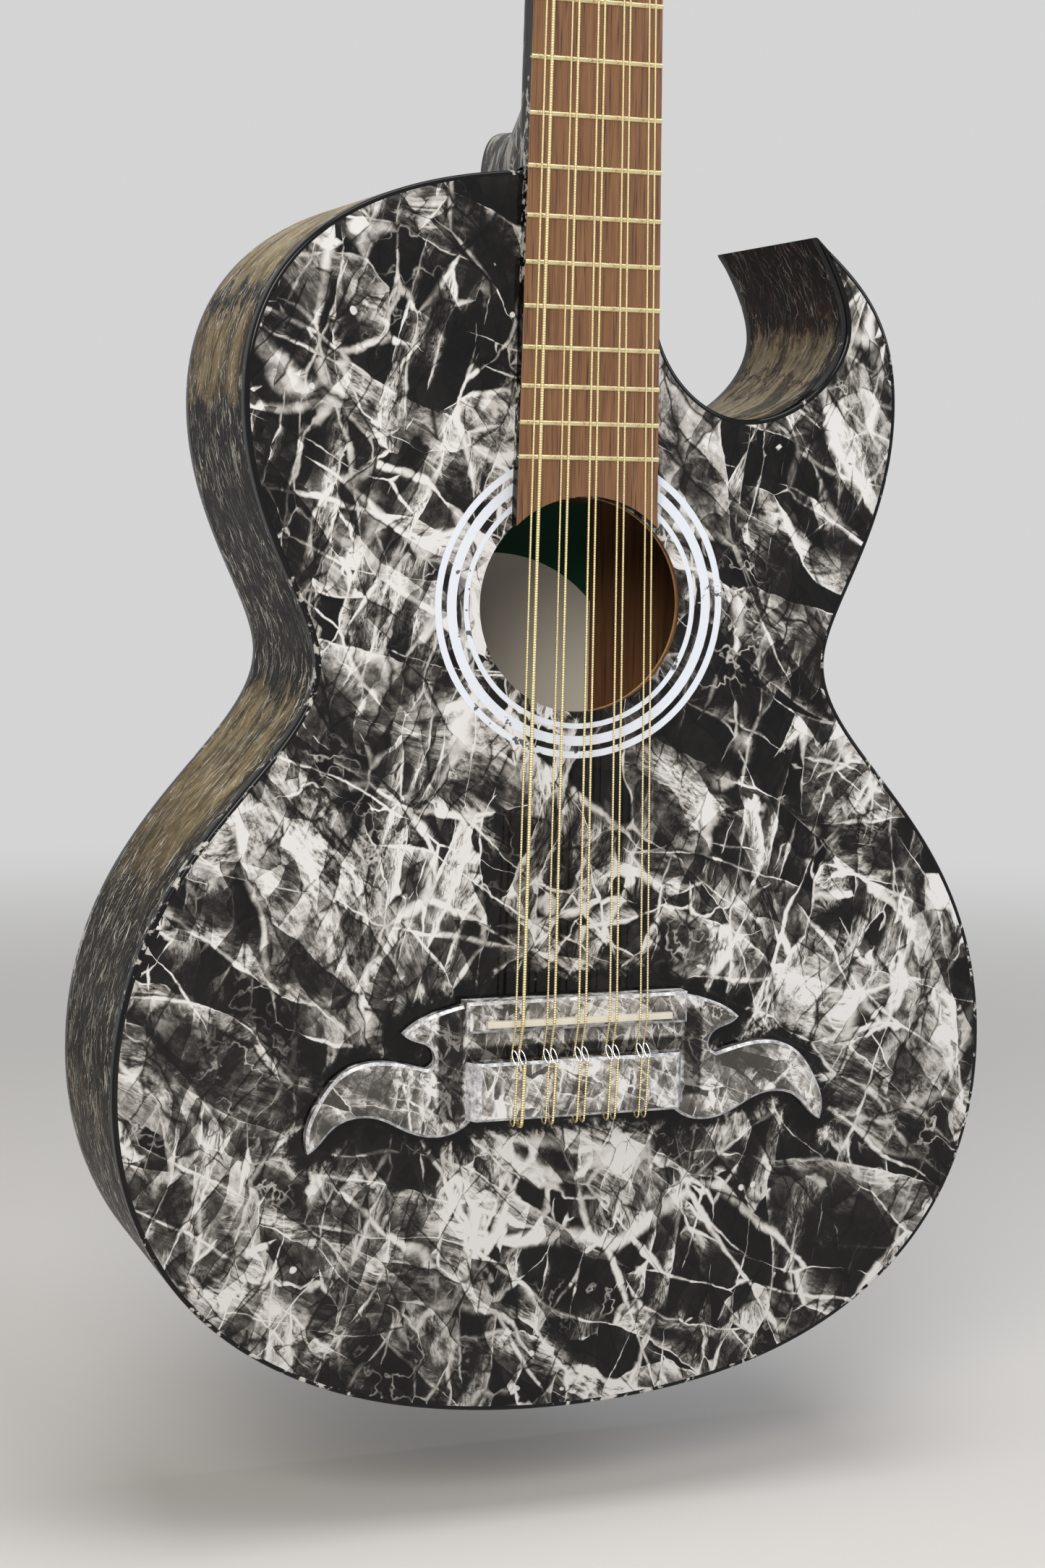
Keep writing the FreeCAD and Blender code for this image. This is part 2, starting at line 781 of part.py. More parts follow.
def plateScrews():
    face = veneer_thickness + head_thickness + plate_thickness
    screws = []
    for side in (-1, 1):
        for up in screwUps():
            x = side * post_out
            shank = rod(at(x, up, face - plate_thickness - screw_length), at(x, up, face), screw_radius)
            head = rod(at(x, up, face), at(x, up, face + screw_head_height), screw_head_radius)
            slot = box(x - screw_head_radius, x + screw_head_radius, face + screw_head_height / 2,
                       face + screw_head_height, up - screw_slot / 2, up + screw_slot / 2)
            screws.append(intoPlace(shank.fuse(head).removeSplitter().cut(slot)))
    write("plate_screws", Part.makeCompound(screws))


def wormWheel(x, up, y0):
    step = 2 * math.pi / wheel_teeth
    corners = []
    for tooth in range(wheel_teeth):
        for share, radius in ((-0.30, wheel_root_radius), (-0.14, wheel_radius),
                              (0.14, wheel_radius), (0.30, wheel_root_radius)):
            turn = (tooth + 0.5 + share) * step
            corners.append(at(x + radius * math.cos(turn), up + radius * math.sin(turn)))
    edges = [lineTo(a, b) for a, b in zip(corners, corners[1:] + corners[:1])]
    return slabOf(edges, y0, y0 + wheel_thickness)


def tunerPost(side, index):
    # The post through the headstock, its worm wheel behind the plate and the wheel's screw
    plate_rear = veneer_thickness + head_thickness + plate_thickness
    wheel_y = plate_rear + wheel_lift
    screw_y = wheel_y + wheel_thickness
    screw_end = screw_y + wheel_screw_height
    x = side * post_out
    up = postUp(index)
    post = acrossHead(side, index, post_radius, -post_reach, wheel_y)
    hub = acrossHead(side, index, 0.75 * wheel_root_radius, plate_rear + fit_gap, wheel_y)
    screw = acrossHead(side, index, 0.6 * wheel_root_radius, screw_y, screw_end)
    slot = box(x - wheel_radius, x + wheel_radius, screw_end - wheel_screw_height / 2, screw_end + 1,
               up - screw_slot / 2, up + screw_slot / 2)
    hole_y = -post_reach + post_radius
    hole = rod(at(x, up - 2 * post_radius, hole_y), at(x, up + 2 * post_radius, hole_y), 0.3 * post_radius)
    turned = post.fuse(hub).fuse(wormWheel(x, up, wheel_y)).fuse(screw).removeSplitter()
    return intoPlace(turned.cut(slot).cut(hole))


def keyProfile():
    # Half section of the worm and its shaft, as distance out from the post's axis and radius
    worm_half = ear_centre_out - ear_thickness / 2 - ear_gap
    outer_ear = ear_centre_out + ear_thickness / 2 + ear_gap
    thread = 2 * worm_half / worm_threads
    profile = [(-outer_ear, 0), (-outer_ear, shaft_radius), (-worm_half, shaft_radius)]
    for turn in range(worm_threads):
        start = -worm_half + turn * thread
        profile += [(start, worm_root_radius), (start + 0.35 * thread, worm_radius),
                    (start + 0.65 * thread, worm_radius), (start + thread, worm_root_radius)]
    key_start = head_top_half + key_start_gap - post_out
    profile += [(worm_half, shaft_radius), (outer_ear, shaft_radius),
                (outer_ear, 1.5 * shaft_radius), (outer_ear + collar_thickness, 1.5 * shaft_radius),
                (outer_ear + collar_thickness, shaft_radius), (key_start - key_boss, shaft_radius),
                (key_start, 2 * shaft_radius), (key_start + key_boss, 2 * shaft_radius),
                (key_start + key_boss, 0)]
    return profile


def tunerKey(side, index):
    # The worm on its shaft, and the flat key outside the headstock's edge that turns it
    up = wormUp(index)
    y = wormY()
    points = [Vector(side * (post_out + out), y + radius, up) for out, radius in keyProfile()]
    shaft = Part.Face(Part.makePolygon(points + points[:1])).revolve(at(0, up, y), Vector(1, 0, 0), 360)
    start = side * (head_top_half + key_start_gap)
    end = start + side * key_length
    low, high = sorted((start, end))
    key = box(low, high, y - key_thickness / 2, y + key_thickness / 2, up - key_half, up + key_half)
    upright = [edge for edge in key.Edges if edge.BoundBox.YLength > 0.5 * key_thickness]
    key = key.makeFillet(0.6 * key_half, upright)
    key = key.makeFillet(key_round, key.Edges)
    return intoPlace(shaft.fuse(key).removeSplitter())


def machines():
    write("machine_plate_bass", machinePlate(-1))
    write("machine_plate_treble", machinePlate(1))
    plateScrews()
    for number, (side, index) in enumerate(machinePlaces(), 1):
        write("tuner_post_%d" % number, tunerPost(side, index))
        write("tuner_key_%d" % number, tunerKey(side, index))


# ---------------------------------------------------------------- strings

def tubeAlong(points, radius, bend):
    # Straight runs through the points, each corner rounded by an arc of radius bend
    edges = []
    start = points[0]
    for before, corner, after in zip(points, points[1:], points[2:]):
        back = (before - corner).normalize()
        on = (after - corner).normalize()
        half_turn = 0.5 * (math.pi - back.getAngle(on))
        reach = bend * math.tan(half_turn)
        enter = corner + back * reach
        leave = corner + on * reach
        middle = (back + on).normalize()
        arc_middle = corner + middle * (bend / math.cos(half_turn) - bend)
        edges.append(lineTo(start, enter))
        edges.append(Part.Arc(enter, arc_middle, leave).toShape())
        start = leave
    edges.append(lineTo(start, points[-1]))
    return edges


def wrapEdges(side, index, nut_x, radius):
    # From the nut to the inner side of the post, and round it, in one plane over the veneer
    lift = -(string_rise + radius)
    ring = post_radius + post_string_gap + radius
    axis = Vector(side * post_out, 0, postUp(index))
    start = Vector(nut_x, 0, 0)
    reach = axis - start
    lean = math.atan2(reach.z, reach.x)
    open_angle = math.acos(ring / reach.Length)
    first = lean + math.pi - side * open_angle
    sweep = -side * math.radians(post_wrap_degrees)
    on_ring = []
    for share in (0, 0.5, 1):
        turn = first + share * sweep
        on_ring.append(headPoint(axis.x + ring * math.cos(turn), axis.z + ring * math.sin(turn), lift))
    return on_ring


def stringTube(order, radius, saddle_x, nut_x):
    side = -1 if order < machine_count else 1
    index = order if side < 0 else 2 * machine_count - 1 - order
    low = -tie_block_bottom_below
    over = -(tie_block_thickness + radius + fit_gap)
    turn_z = low - string_bend - radius
    ring = wrapEdges(side, index, nut_x, radius)
    points = [at(saddle_x + tie_slant, -tie_block_top_below - 0.5, over), at(saddle_x, turn_z, over),
              at(saddle_x, turn_z, -tie_hole_height), at(saddle_x, 1 - tie_block_top_below, -tie_hole_height),
              at(saddle_x, 0, -saddle_top - radius), at(nut_x, nut_z + nut_thickness, -nut_seat - radius),
              ring[0]]
    edges = tubeAlong(points, radius, string_bend)
    edges.append(Part.Arc(ring[0], ring[1], ring[2]).toShape())
    path = Part.Wire(edges)
    circle = Part.Wire(Part.Circle(points[0], points[1] - points[0], radius).toShape())
    tube = path.makePipeShell([circle], True, False)
    fill = tube.Volume / (math.pi * radius ** 2 * path.Length)
    print("string", order + 1, round(path.Length, 1), round(fill, 4))
    return tube


def strings():
    tubes = {}
    for order, (course, radius, saddle_x, nut_x) in enumerate(stringPlaces()):
        tubes.setdefault(course, []).append(stringTube(order, radius, saddle_x, nut_x))
    for course, pair in tubes.items():
        write("string_course_%d" % (course + 1), Part.makeCompound(pair))


# ---------------------------------------------------------------- writing

def cradle():
    z = nut_z - cradle_below_nut
    return at(0, z, neckDepth(z))


def write(node, shape):
    moved = shape.copy()
    moved.translate(cradle() * -1)
    moved.exportStep("parts/%s.step" % node)
    print(node, moved.isValid(), len(moved.Solids), round(moved.Volume))


os.makedirs("parts", exist_ok=True)
sides()
bindings()
plates()
linings()
blocks()
braces()
label()
endPin()
bridge()
neck()
fretboard()
nut()
headstock()
bushings()
machines()
strings()
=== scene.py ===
import math

import bpy
import numpy as np
from mathutils import Matrix, Vector


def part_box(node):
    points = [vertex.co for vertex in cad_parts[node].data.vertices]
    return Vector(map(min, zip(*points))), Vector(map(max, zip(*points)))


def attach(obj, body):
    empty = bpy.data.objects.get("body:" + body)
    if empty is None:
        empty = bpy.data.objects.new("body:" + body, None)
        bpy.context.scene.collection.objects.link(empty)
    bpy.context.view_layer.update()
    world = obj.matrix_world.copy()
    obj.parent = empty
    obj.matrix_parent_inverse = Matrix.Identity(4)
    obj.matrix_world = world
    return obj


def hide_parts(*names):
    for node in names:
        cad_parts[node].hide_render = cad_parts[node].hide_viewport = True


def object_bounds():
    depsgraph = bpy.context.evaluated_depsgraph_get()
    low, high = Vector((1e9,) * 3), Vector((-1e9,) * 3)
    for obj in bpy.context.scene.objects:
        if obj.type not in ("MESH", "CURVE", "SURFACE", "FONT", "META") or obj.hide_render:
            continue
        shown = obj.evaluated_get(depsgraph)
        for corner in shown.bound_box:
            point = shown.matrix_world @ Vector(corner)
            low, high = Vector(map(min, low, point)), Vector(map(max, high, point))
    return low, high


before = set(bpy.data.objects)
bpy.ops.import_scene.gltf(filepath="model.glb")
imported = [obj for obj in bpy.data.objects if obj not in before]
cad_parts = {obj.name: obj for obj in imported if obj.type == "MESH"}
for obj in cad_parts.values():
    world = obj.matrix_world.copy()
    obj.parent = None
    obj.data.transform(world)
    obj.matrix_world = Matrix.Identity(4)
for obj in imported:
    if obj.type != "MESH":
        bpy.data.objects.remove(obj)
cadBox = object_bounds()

print("bajo quinto: frame loaded,", len(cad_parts), "nodes")


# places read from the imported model, in metres
saddleLow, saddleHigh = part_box("saddle")
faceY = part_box("soundboard")[0].y
saddleZ = (saddleLow.z + saddleHigh.z) / 2


def inGuitar(x, y, z):
    # millimetres about the saddle's middle on the soundboard's face, to metres in the model's frame
    x, y, z = np.broadcast_arrays(x, y, z)
    return np.stack([x / 1000, y / 1000 + faceY, z / 1000 + saddleZ], axis=-1)


# ---- small tools for meshes

def makePiece(name, points, faces, uv=None, slots=None, materials=()):
    # a mesh from whole arrays: points, faces that already look outwards, place along it, slots
    mesh = bpy.data.meshes.new(name)
    mesh.from_pydata(points.reshape(-1, 3).tolist(), [], [list(face) for face in faces])
    for material in materials:
        mesh.materials.append(material)
    if uv is not None:
        corners = np.empty(len(mesh.loops), dtype=np.int32)
        mesh.loops.foreach_get("vertex_index", corners)
        mesh.uv_layers.new(name="along")
        mesh.uv_layers["along"].data.foreach_set("uv", uv.reshape(-1, 2)[corners].ravel())
    if slots is not None:
        mesh.polygons.foreach_set("material_index", np.asarray(slots, dtype=np.int32))
    mesh.polygons.foreach_set("use_smooth", np.ones(len(mesh.polygons), dtype=bool))
    mesh.update()
    piece = bpy.data.objects.new(name, mesh)
    bpy.context.scene.collection.objects.link(piece)
    return piece


def gridFaces(rows, columns, closeRows, closeColumns):
    # quads between neighbours of a rows x columns grid, wrapping round where asked
    row = np.arange(rows if closeRows else rows - 1)
    column = np.arange(columns if closeColumns else columns - 1)
    r, c = [a.ravel() for a in np.meshgrid(row, column, indexing="ij")]
    r2 = (r + 1) % rows
    c2 = (c + 1) % columns
    return np.stack([r * columns + c, r * columns + c2, r2 * columns + c2, r2 * columns + c], axis=-1)


def keepCreases(angle):
    # node group: edges sharper than angle stay crisp, all others shade smooth
    group = bpy.data.node_groups.new("keepCreases", "GeometryNodeTree")
    group.interface.new_socket("Geometry", in_out="INPUT", socket_type="NodeSocketGeometry")
    group.interface.new_socket("Geometry", in_out="OUTPUT", socket_type="NodeSocketGeometry")
    start = group.nodes.new("NodeGroupInput")
    finish = group.nodes.new("NodeGroupOutput")
    turn = group.nodes.new("GeometryNodeInputMeshEdgeAngle")
    sharper = group.nodes.new("FunctionNodeCompare")
    sharper.operation = "GREATER_THAN"
    sharper.inputs[1].default_value = angle
    shade = group.nodes.new("GeometryNodeSetShadeSmooth")
    shade.domain = "EDGE"
    shade.inputs["Shade Smooth"].default_value = False
    group.links.new(turn.outputs["Unsigned Angle"], sharper.inputs[0])
    group.links.new(start.outputs[0], shade.inputs["Geometry"])
    group.links.new(sharper.outputs[0], shade.inputs["Selection"])
    group.links.new(shade.outputs[0], finish.inputs[0])
    return group


edgeAngles = {"crease": 32, "bevel": 40}      # degrees past which an edge is crisp or gets rounded
creases = keepCreases(math.radians(edgeAngles["crease"]))


def finishEdges(piece, bevel=0.0, segments=2):
    # merged corners, a small rounding where the object is worn or sprayed over, crisp creases
    weld = piece.modifiers.new("merged", "WELD")
    weld.merge_threshold = 1e-5
    if bevel > 0:
        rounding = piece.modifiers.new("rounding", "BEVEL")
        rounding.width = bevel
        rounding.segments = segments
        rounding.limit_method = "ANGLE"
        rounding.angle_limit = math.radians(edgeAngles["bevel"])
        rounding.use_clamp_overlap = True
    crisp = piece.modifiers.new("creases", "NODES")
    crisp.node_group = creases
    if bevel > 0:
        even = piece.modifiers.new("even", "WEIGHTED_NORMAL")
        even.keep_sharp = True


def dressNode(name, materials, bevel=0.0, segments=2, choose=None):
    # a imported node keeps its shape; it gets finishes, by face where choose says so
    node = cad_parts[name]
    mesh = node.data
    mesh.materials.clear()
    for material in materials:
        mesh.materials.append(material)
    count = len(mesh.polygons)
    if choose is not None:
        normal = np.empty(count * 3)
        centre = np.empty(count * 3)
        mesh.polygons.foreach_get("normal", normal)
        mesh.polygons.foreach_get("center", centre)
        index = choose(normal.reshape(-1, 3), centre.reshape(-1, 3))
        mesh.polygons.foreach_set("material_index", index.astype(np.int32))
    else:
        mesh.polygons.foreach_set("material_index", np.zeros(count, dtype=np.int32))
    mesh.polygons.foreach_set("use_smooth", np.ones(count, dtype=bool))
    finishEdges(node, bevel, segments)
    return node


# ---- small tools for materials

def linear(hexColour):
    # sRGB hex to the linear colour that a node wants
    parts = np.array([int(hexColour[i:i + 2], 16) for i in (1, 3, 5)]) / 255
    values = np.where(parts <= 0.04045, parts / 12.92, ((parts + 0.055) / 1.055) ** 2.4)
    return (*values.tolist(), 1.0)


def put(tree, kind, inputs={}, out=0, **settings):
    # adds one node, sets its properties, links or fills its inputs, and gives one of its outputs
    node = tree.nodes.new("ShaderNode" + kind)
    for name, value in settings.items():
        setattr(node, name, value)
    for socket, value in inputs.items():
        if isinstance(value, bpy.types.NodeSocket):
            tree.links.new(value, node.inputs[socket])
        else:
            node.inputs[socket].default_value = value
    return node.outputs[out] if node.outputs else None


def blendColours(ramp, stops):
    # ramp is a Color Ramp's output; its stops become the (place, hex) pairs
    elements = ramp.node.color_ramp.elements
    while len(elements) < len(stops):
        elements.new(1.0)
    for element, (place, hexColour) in zip(elements, stops):
        element.position = place
        element.color = linear(hexColour)
    return ramp


def startMaterial(name):
    # an empty node tree in a new material
    material = bpy.data.materials.new(name)
    material.use_nodes = True
    material.node_tree.nodes.clear()
    return material, material.node_tree


def finishMaterial(material, tree, surface, bump=None, distance=0.0):
    # surface is the shader's sockets; bump a height socket worth distance metres
    if bump is not None:
        surface["Normal"] = put(tree, "Bump", {"Height": bump, "Distance": distance, "Strength": 1.0})
    put(tree, "OutputMaterial", {"Surface": put(tree, "BsdfPrincipled", surface)})
    return material


# ---- lacquer laid over a crumpled film

film = {
    "drift": [(0.020, 6.0), (0.0040, 26.0), (0.0012, 110.0)],   # metres of wander, turns a metre
    # size mm, stretch across and up, turn degrees, band share of size, crease share, smoke, start
    "folds": [
        (60.0, (1.0, 2.4), 28.0, 0.26, 0.030, 0.55, (0.0, 0.0, 0.0)),
        (38.0, (2.8, 1.0), -26.0, 0.28, 0.036, 0.50, (3.1, 0.4, 7.7)),
        (24.0, (1.0, 3.4), 64.0, 0.34, 0.050, 0.42, (6.4, 2.2, 4.9)),
        (14.0, (1.0, 3.6), -12.0, 0.42, 0.07, 0.38, (9.2, 5.0, 1.3)),
    ],
    "calm": (6.5, 0.36, 0.50),          # turns a metre, noise levels where small folds start and fill
    # shards: size mm, stretch, turn, darkest, brightest, dark seam share
    "shards": [(14.0, 3.8, 38.0, 0.35, 1.60, 0.06), (7.5, 3.6, -28.0, 0.50, 1.50, 0.10)],
    "thin": (-0.17, 0.03, 0.80),         # painted shade towards the tail: metres over the saddle, and share of the brightness kept at the tail
    "ragged": (170.0, 0.42),             # grit at the pale edges: turns a metre, strength
    "drop": (0.017, 0.075, 0.80),        # metres between drops, share of that, rarity
    "crinkle": (66.0, 0.035, 0.55),      # thin bright threads: turns a metre, width, strength
    "gather": (17.0, 0.54, 0.68),        # where threads gather: turns a metre, start and fill
    "colours": [(0.0, "#0a0a0b"), (0.10, "#211f1e"), (0.215, "#4b4845"), (0.35, "#7f7c78"), (0.52, "#aeaba7"),
                (0.78, "#cccac8"), (1.0, "#dddddd")],
    # plain dark margin round the bridge: metres from it where it ends, how far grit tears it, paint kept
    "halo": (0.004, 0.011, 0.022, 0.10),
    "soft": 0.0008,                      # half the soft edge of a plain block, metres
}


def crinkledFilm(tree, place, edges=None):
    # Paint left under a crumpled film. Cells of four sizes, each smoky towards one side, with a
    # hairy pale band inside that side's walls and a bright crease on the walls themselves.
    # Two sizes of long shards break the pale parts up, grit tears every pale edge, and painted
    # shade darkens everything towards the tail.
    warped = place
    for drift, scale in film["drift"]:
        noise = put(tree, "TexNoise", {"Vector": place, "Scale": scale, "Detail": 2.0, "Roughness": 0.55},
                    out="Color")
        centred = put(tree, "VectorMath", {0: noise, 1: (0.5, 0.5, 0.5)}, operation="SUBTRACT")
        shift = put(tree, "VectorMath", {0: centred, "Scale": 2 * drift}, operation="SCALE")
        warped = put(tree, "VectorMath", {0: warped, 1: shift}, operation="ADD")
    calmScale, calmLow, calmHigh = film["calm"]
    calm = put(tree, "TexNoise", {"Vector": place, "Scale": calmScale, "Detail": 1.0})
    busy = put(tree, "MapRange", {"Value": calm, "From Min": calmLow, "From Max": calmHigh})
    total = None
    for number, (size, stretch, turn, bandShare, creaseShare, smoke, start) in enumerate(film["folds"]):
        cells = 1000 / size
        turned = put(tree, "VectorRotate", {"Vector": warped, "Axis": (0, 1, 0), "Angle": math.radians(turn)})
        density = (cells / stretch[0], cells, cells / stretch[1])
        scaled = put(tree, "VectorMath", {0: turned, 1: density, 2: start}, operation="MULTIPLY_ADD")
        cell = put(tree, "TexVoronoi", {"Vector": scaled, "Scale": 1.0}, feature="F1").node.outputs
        wall = put(tree, "TexVoronoi", {"Vector": scaled, "Scale": 1.0}, feature="DISTANCE_TO_EDGE")
        across = put(tree, "VectorMath", {0: scaled, 1: cell["Position"]}, operation="SUBTRACT")
        random = put(tree, "VectorMath", {0: cell["Color"], 1: (0.5, 0.5, 0.5)}, operation="SUBTRACT")
        heading = put(tree, "VectorMath", {0: random}, operation="NORMALIZE")
        run = put(tree, "VectorMath", {0: across, 1: heading}, operation="DOT_PRODUCT", out="Value")
        spoke = put(tree, "VectorMath", {0: across}, operation="NORMALIZE")
        hairPlace = put(tree, "VectorMath", {0: spoke, 1: (7.0, 7.0, 7.0), 2: cell["Position"]},
                        operation="MULTIPLY_ADD")
        hairs = put(tree, "TexNoise", {"Vector": hairPlace, "Scale": 1.0, "Detail": 4.0, "Roughness": 0.75})
        hair = put(tree, "MapRange", {"Value": hairs, "From Min": 0.38, "From Max": 0.60, "To Min": 0.08})
        chance = put(tree, "SeparateXYZ", {"Vector": cell["Color"]})
        fan = put(tree, "MapRange", {"Value": run, "From Min": -0.45, "From Max": 0.60},
                  interpolation_type="SMOOTHSTEP")
        lit = put(tree, "MapRange", {"Value": chance, "From Min": 0.10, "From Max": 0.85, "To Max": smoke})
        softHair = put(tree, "MapRange", {"Value": hair, "To Min": 0.45})
        smoky = put(tree, "Math", {0: fan, 1: lit}, operation="MULTIPLY")
        smoky = put(tree, "Math", {0: smoky, 1: softHair}, operation="MULTIPLY")
        patch = put(tree, "TexNoise", {"Vector": scaled, "Scale": 1.1, "Detail": 2.0, "Roughness": 0.6})
        facing = put(tree, "MapRange", {"Value": run, "From Min": -0.05, "From Max": 0.2})
        near = put(tree, "MapRange", {"Value": wall, "From Max": bandShare, "To Min": 0.9, "To Max": 0.0})
        near = put(tree, "Math", {0: near, 1: 1.5}, operation="POWER")
        here = put(tree, "MapRange", {"Value": patch, "From Min": 0.40, "From Max": 0.52})
        band = put(tree, "Math", {0: near, 1: hair}, operation="MULTIPLY")
        band = put(tree, "Math", {0: band, 1: facing}, operation="MULTIPLY")
        band = put(tree, "Math", {0: band, 1: here}, operation="MULTIPLY")
        wide = put(tree, "MapRange", {"Value": patch, "From Min": 0.44, "From Max": 0.66,
                                      "To Max": creaseShare * 1.7})
        crease = put(tree, "MapRange", {"Value": wall, "From Max": wide, "To Min": 1.0, "To Max": 0.0},
                     interpolation_type="SMOOTHSTEP")
        both = put(tree, "Math", {0: smoky, 1: band}, operation="ADD")
        both = put(tree, "Math", {0: both, 1: crease}, operation="MAXIMUM")
        if number >= 2:
            both = put(tree, "Math", {0: both, 1: busy}, operation="MULTIPLY")
        if total is None:
            total = both
        else:
            total = put(tree, "Math", {0: total, 1: both, 2: 0.10}, operation="SMOOTH_MAX")
    for size, stretch, turn, darkest, brightest, seam in film["shards"]:
        turned = put(tree, "VectorRotate", {"Vector": warped, "Axis": (0, 1, 0), "Angle": math.radians(turn)})
        density = (1000 / size, 1000 / size, 1000 / size / stretch)
        scaled = put(tree, "VectorMath", {0: turned, 1: density}, operation="MULTIPLY")
        shard = put(tree, "TexVoronoi", {"Vector": scaled, "Scale": 1.0}, feature="F1", out="Color")
        tone = put(tree, "SeparateXYZ", {"Vector": shard}, out="Y")
        tone = put(tree, "MapRange", {"Value": tone, "To Min": darkest, "To Max": brightest})
        some = put(tree, "TexNoise", {"Vector": scaled, "Scale": 0.9, "Detail": 1.0})
        some = put(tree, "MapRange", {"Value": some, "From Min": 0.50, "From Max": 0.66, "To Min": 0.0001,
                                      "To Max": seam})
        gap = put(tree, "TexVoronoi", {"Vector": scaled, "Scale": 1.0}, feature="DISTANCE_TO_EDGE")
        gap = put(tree, "MapRange", {"Value": gap, "From Max": some, "To Min": 0.3, "To Max": 1.0})
        tone = put(tree, "Math", {0: tone, 1: gap}, operation="MULTIPLY")
        total = put(tree, "Math", {0: total, 1: tone}, operation="MULTIPLY")
    threads, width, strength = film["crinkle"]
    crinkle = put(tree, "TexNoise", {"Vector": warped, "Scale": threads, "Detail": 3.0, "Roughness": 0.55})
    ridge = put(tree, "Math", {0: crinkle, 1: 0.5}, operation="SUBTRACT")
    ridge = put(tree, "Math", {0: ridge}, operation="ABSOLUTE")
    thread = put(tree, "MapRange", {"Value": ridge, "From Max": width, "To Min": strength, "To Max": 0.0},
                 interpolation_type="SMOOTHSTEP")
    gatherScale, gatherLow, gatherHigh = film["gather"]
    where = put(tree, "TexNoise", {"Vector": place, "Scale": gatherScale, "Detail": 2.0})
    clump = put(tree, "MapRange", {"Value": where, "From Min": gatherLow, "From Max": gatherHigh})
    crinkles = put(tree, "Math", {0: thread, 1: clump}, operation="MULTIPLY")
    total = put(tree, "Math", {0: total, 1: crinkles, 2: 0.05}, operation="SMOOTH_MAX")
    dropGap, dropShare, rarity = film["drop"]
    spots = put(tree, "TexVoronoi", {"Vector": warped, "Scale": 1 / dropGap}, feature="F1").node.outputs
    spotChance = put(tree, "SeparateXYZ", {"Vector": spots["Color"]}, out="Z")
    there = put(tree, "Math", {0: spotChance, 1: rarity}, operation="GREATER_THAN")
    drop = put(tree, "MapRange", {"Value": spots["Distance"], "From Min": dropShare,
                                  "From Max": 1.3 * dropShare, "To Min": 0.95, "To Max": 0.0})
    drop = put(tree, "Math", {0: drop, 1: there}, operation="MULTIPLY")
    total = put(tree, "Math", {0: total, 1: drop}, operation="MAXIMUM")
    raggedScale, raggedShare = film["ragged"]
    grit = put(tree, "TexNoise", {"Vector": warped, "Scale": raggedScale, "Detail": 4.0, "Roughness": 0.65})
    grit = put(tree, "MapRange", {"Value": grit, "From Min": 0.3, "From Max": 0.7, "To Min": -raggedShare / 2,
                                  "To Max": raggedShare / 2})
    level = put(tree, "Math", {0: total, 1: 2.2}, operation="MULTIPLY", use_clamp=True)
    torn = put(tree, "Math", {0: grit, 1: level}, operation="MULTIPLY")
    total = put(tree, "Math", {0: total, 1: torn}, operation="ADD", use_clamp=True)
    # painted shade: the pattern is darkened towards the tail, where less light falls
    tail, full, kept = film["thin"]
    height = put(tree, "SeparateXYZ", {"Vector": place}, out="Z")
    paint = put(tree, "MapRange", {"Value": height, "From Min": tail + saddleZ, "From Max": full + saddleZ,
                                   "To Min": kept})
    total = put(tree, "Math", {0: total, 1: paint}, operation="MULTIPLY")
    if edges is not None:
        near, clear, tear, kept = film["halo"]
        away = put(tree, "Math", {0: grit, 1: tear, 2: edges}, operation="MULTIPLY_ADD")
        keep = put(tree, "MapRange", {"Value": away, "From Min": near, "From Max": clear, "To Min": kept},
                   interpolation_type="SMOOTHSTEP")
        total = put(tree, "Math", {0: total, 1: keep}, operation="MULTIPLY")
    return total


# the bridge's middle lines: across and over the saddle from and to, half width, mm; the last
# three are one wing's and are mirrored for the other
slabLines = [((-40.0, 0.0), (40.0, 0.0), 13.0), ((-44.0, -30.0), (44.0, -30.0), 14.0)]
wingLines = [((54.0, -40.0), (100.0, -27.0), 10.0), ((100.0, -27.0), (121.0, -52.0), 4.0),
             ((58.0, 2.0), (76.0, -4.0), 5.0)]
bridgeLines = slabLines + [((side * a, b), (side * c, d), half) for side in (1, -1)
                           for (a, b), (c, d), half in wingLines]


def awayFromBridge(tree, place):
    # distance in metres from the nearest of the bridge's middle lines, less its half width:
    # the point's share along each line, held to the line, gives the nearest point on it
    nearest = None
    for start, end, half in bridgeLines:
        a = np.array([start[0] / 1000, 0.0, start[1] / 1000 + saddleZ])
        b = np.array([end[0] / 1000, 0.0, end[1] / 1000 + saddleZ])
        flat = put(tree, "VectorMath", {0: place, 1: (1.0, 0.0, 1.0), 2: tuple(-a)}, operation="MULTIPLY_ADD")
        line = b - a
        share = put(tree, "VectorMath", {0: flat, 1: tuple(line / (line @ line))}, operation="DOT_PRODUCT",
                    out="Value")
        held = put(tree, "Clamp", {"Value": share})
        foot = put(tree, "VectorMath", {0: tuple(line), "Scale": held}, operation="SCALE")
        gap = put(tree, "VectorMath", {0: flat, 1: foot}, operation="DISTANCE", out="Value")
        gap = put(tree, "Math", {0: gap, 1: half / 1000}, operation="SUBTRACT")
        if nearest is None:
            nearest = gap
        else:
            nearest = put(tree, "Math", {0: nearest, 1: gap}, operation="MINIMUM")
    return nearest


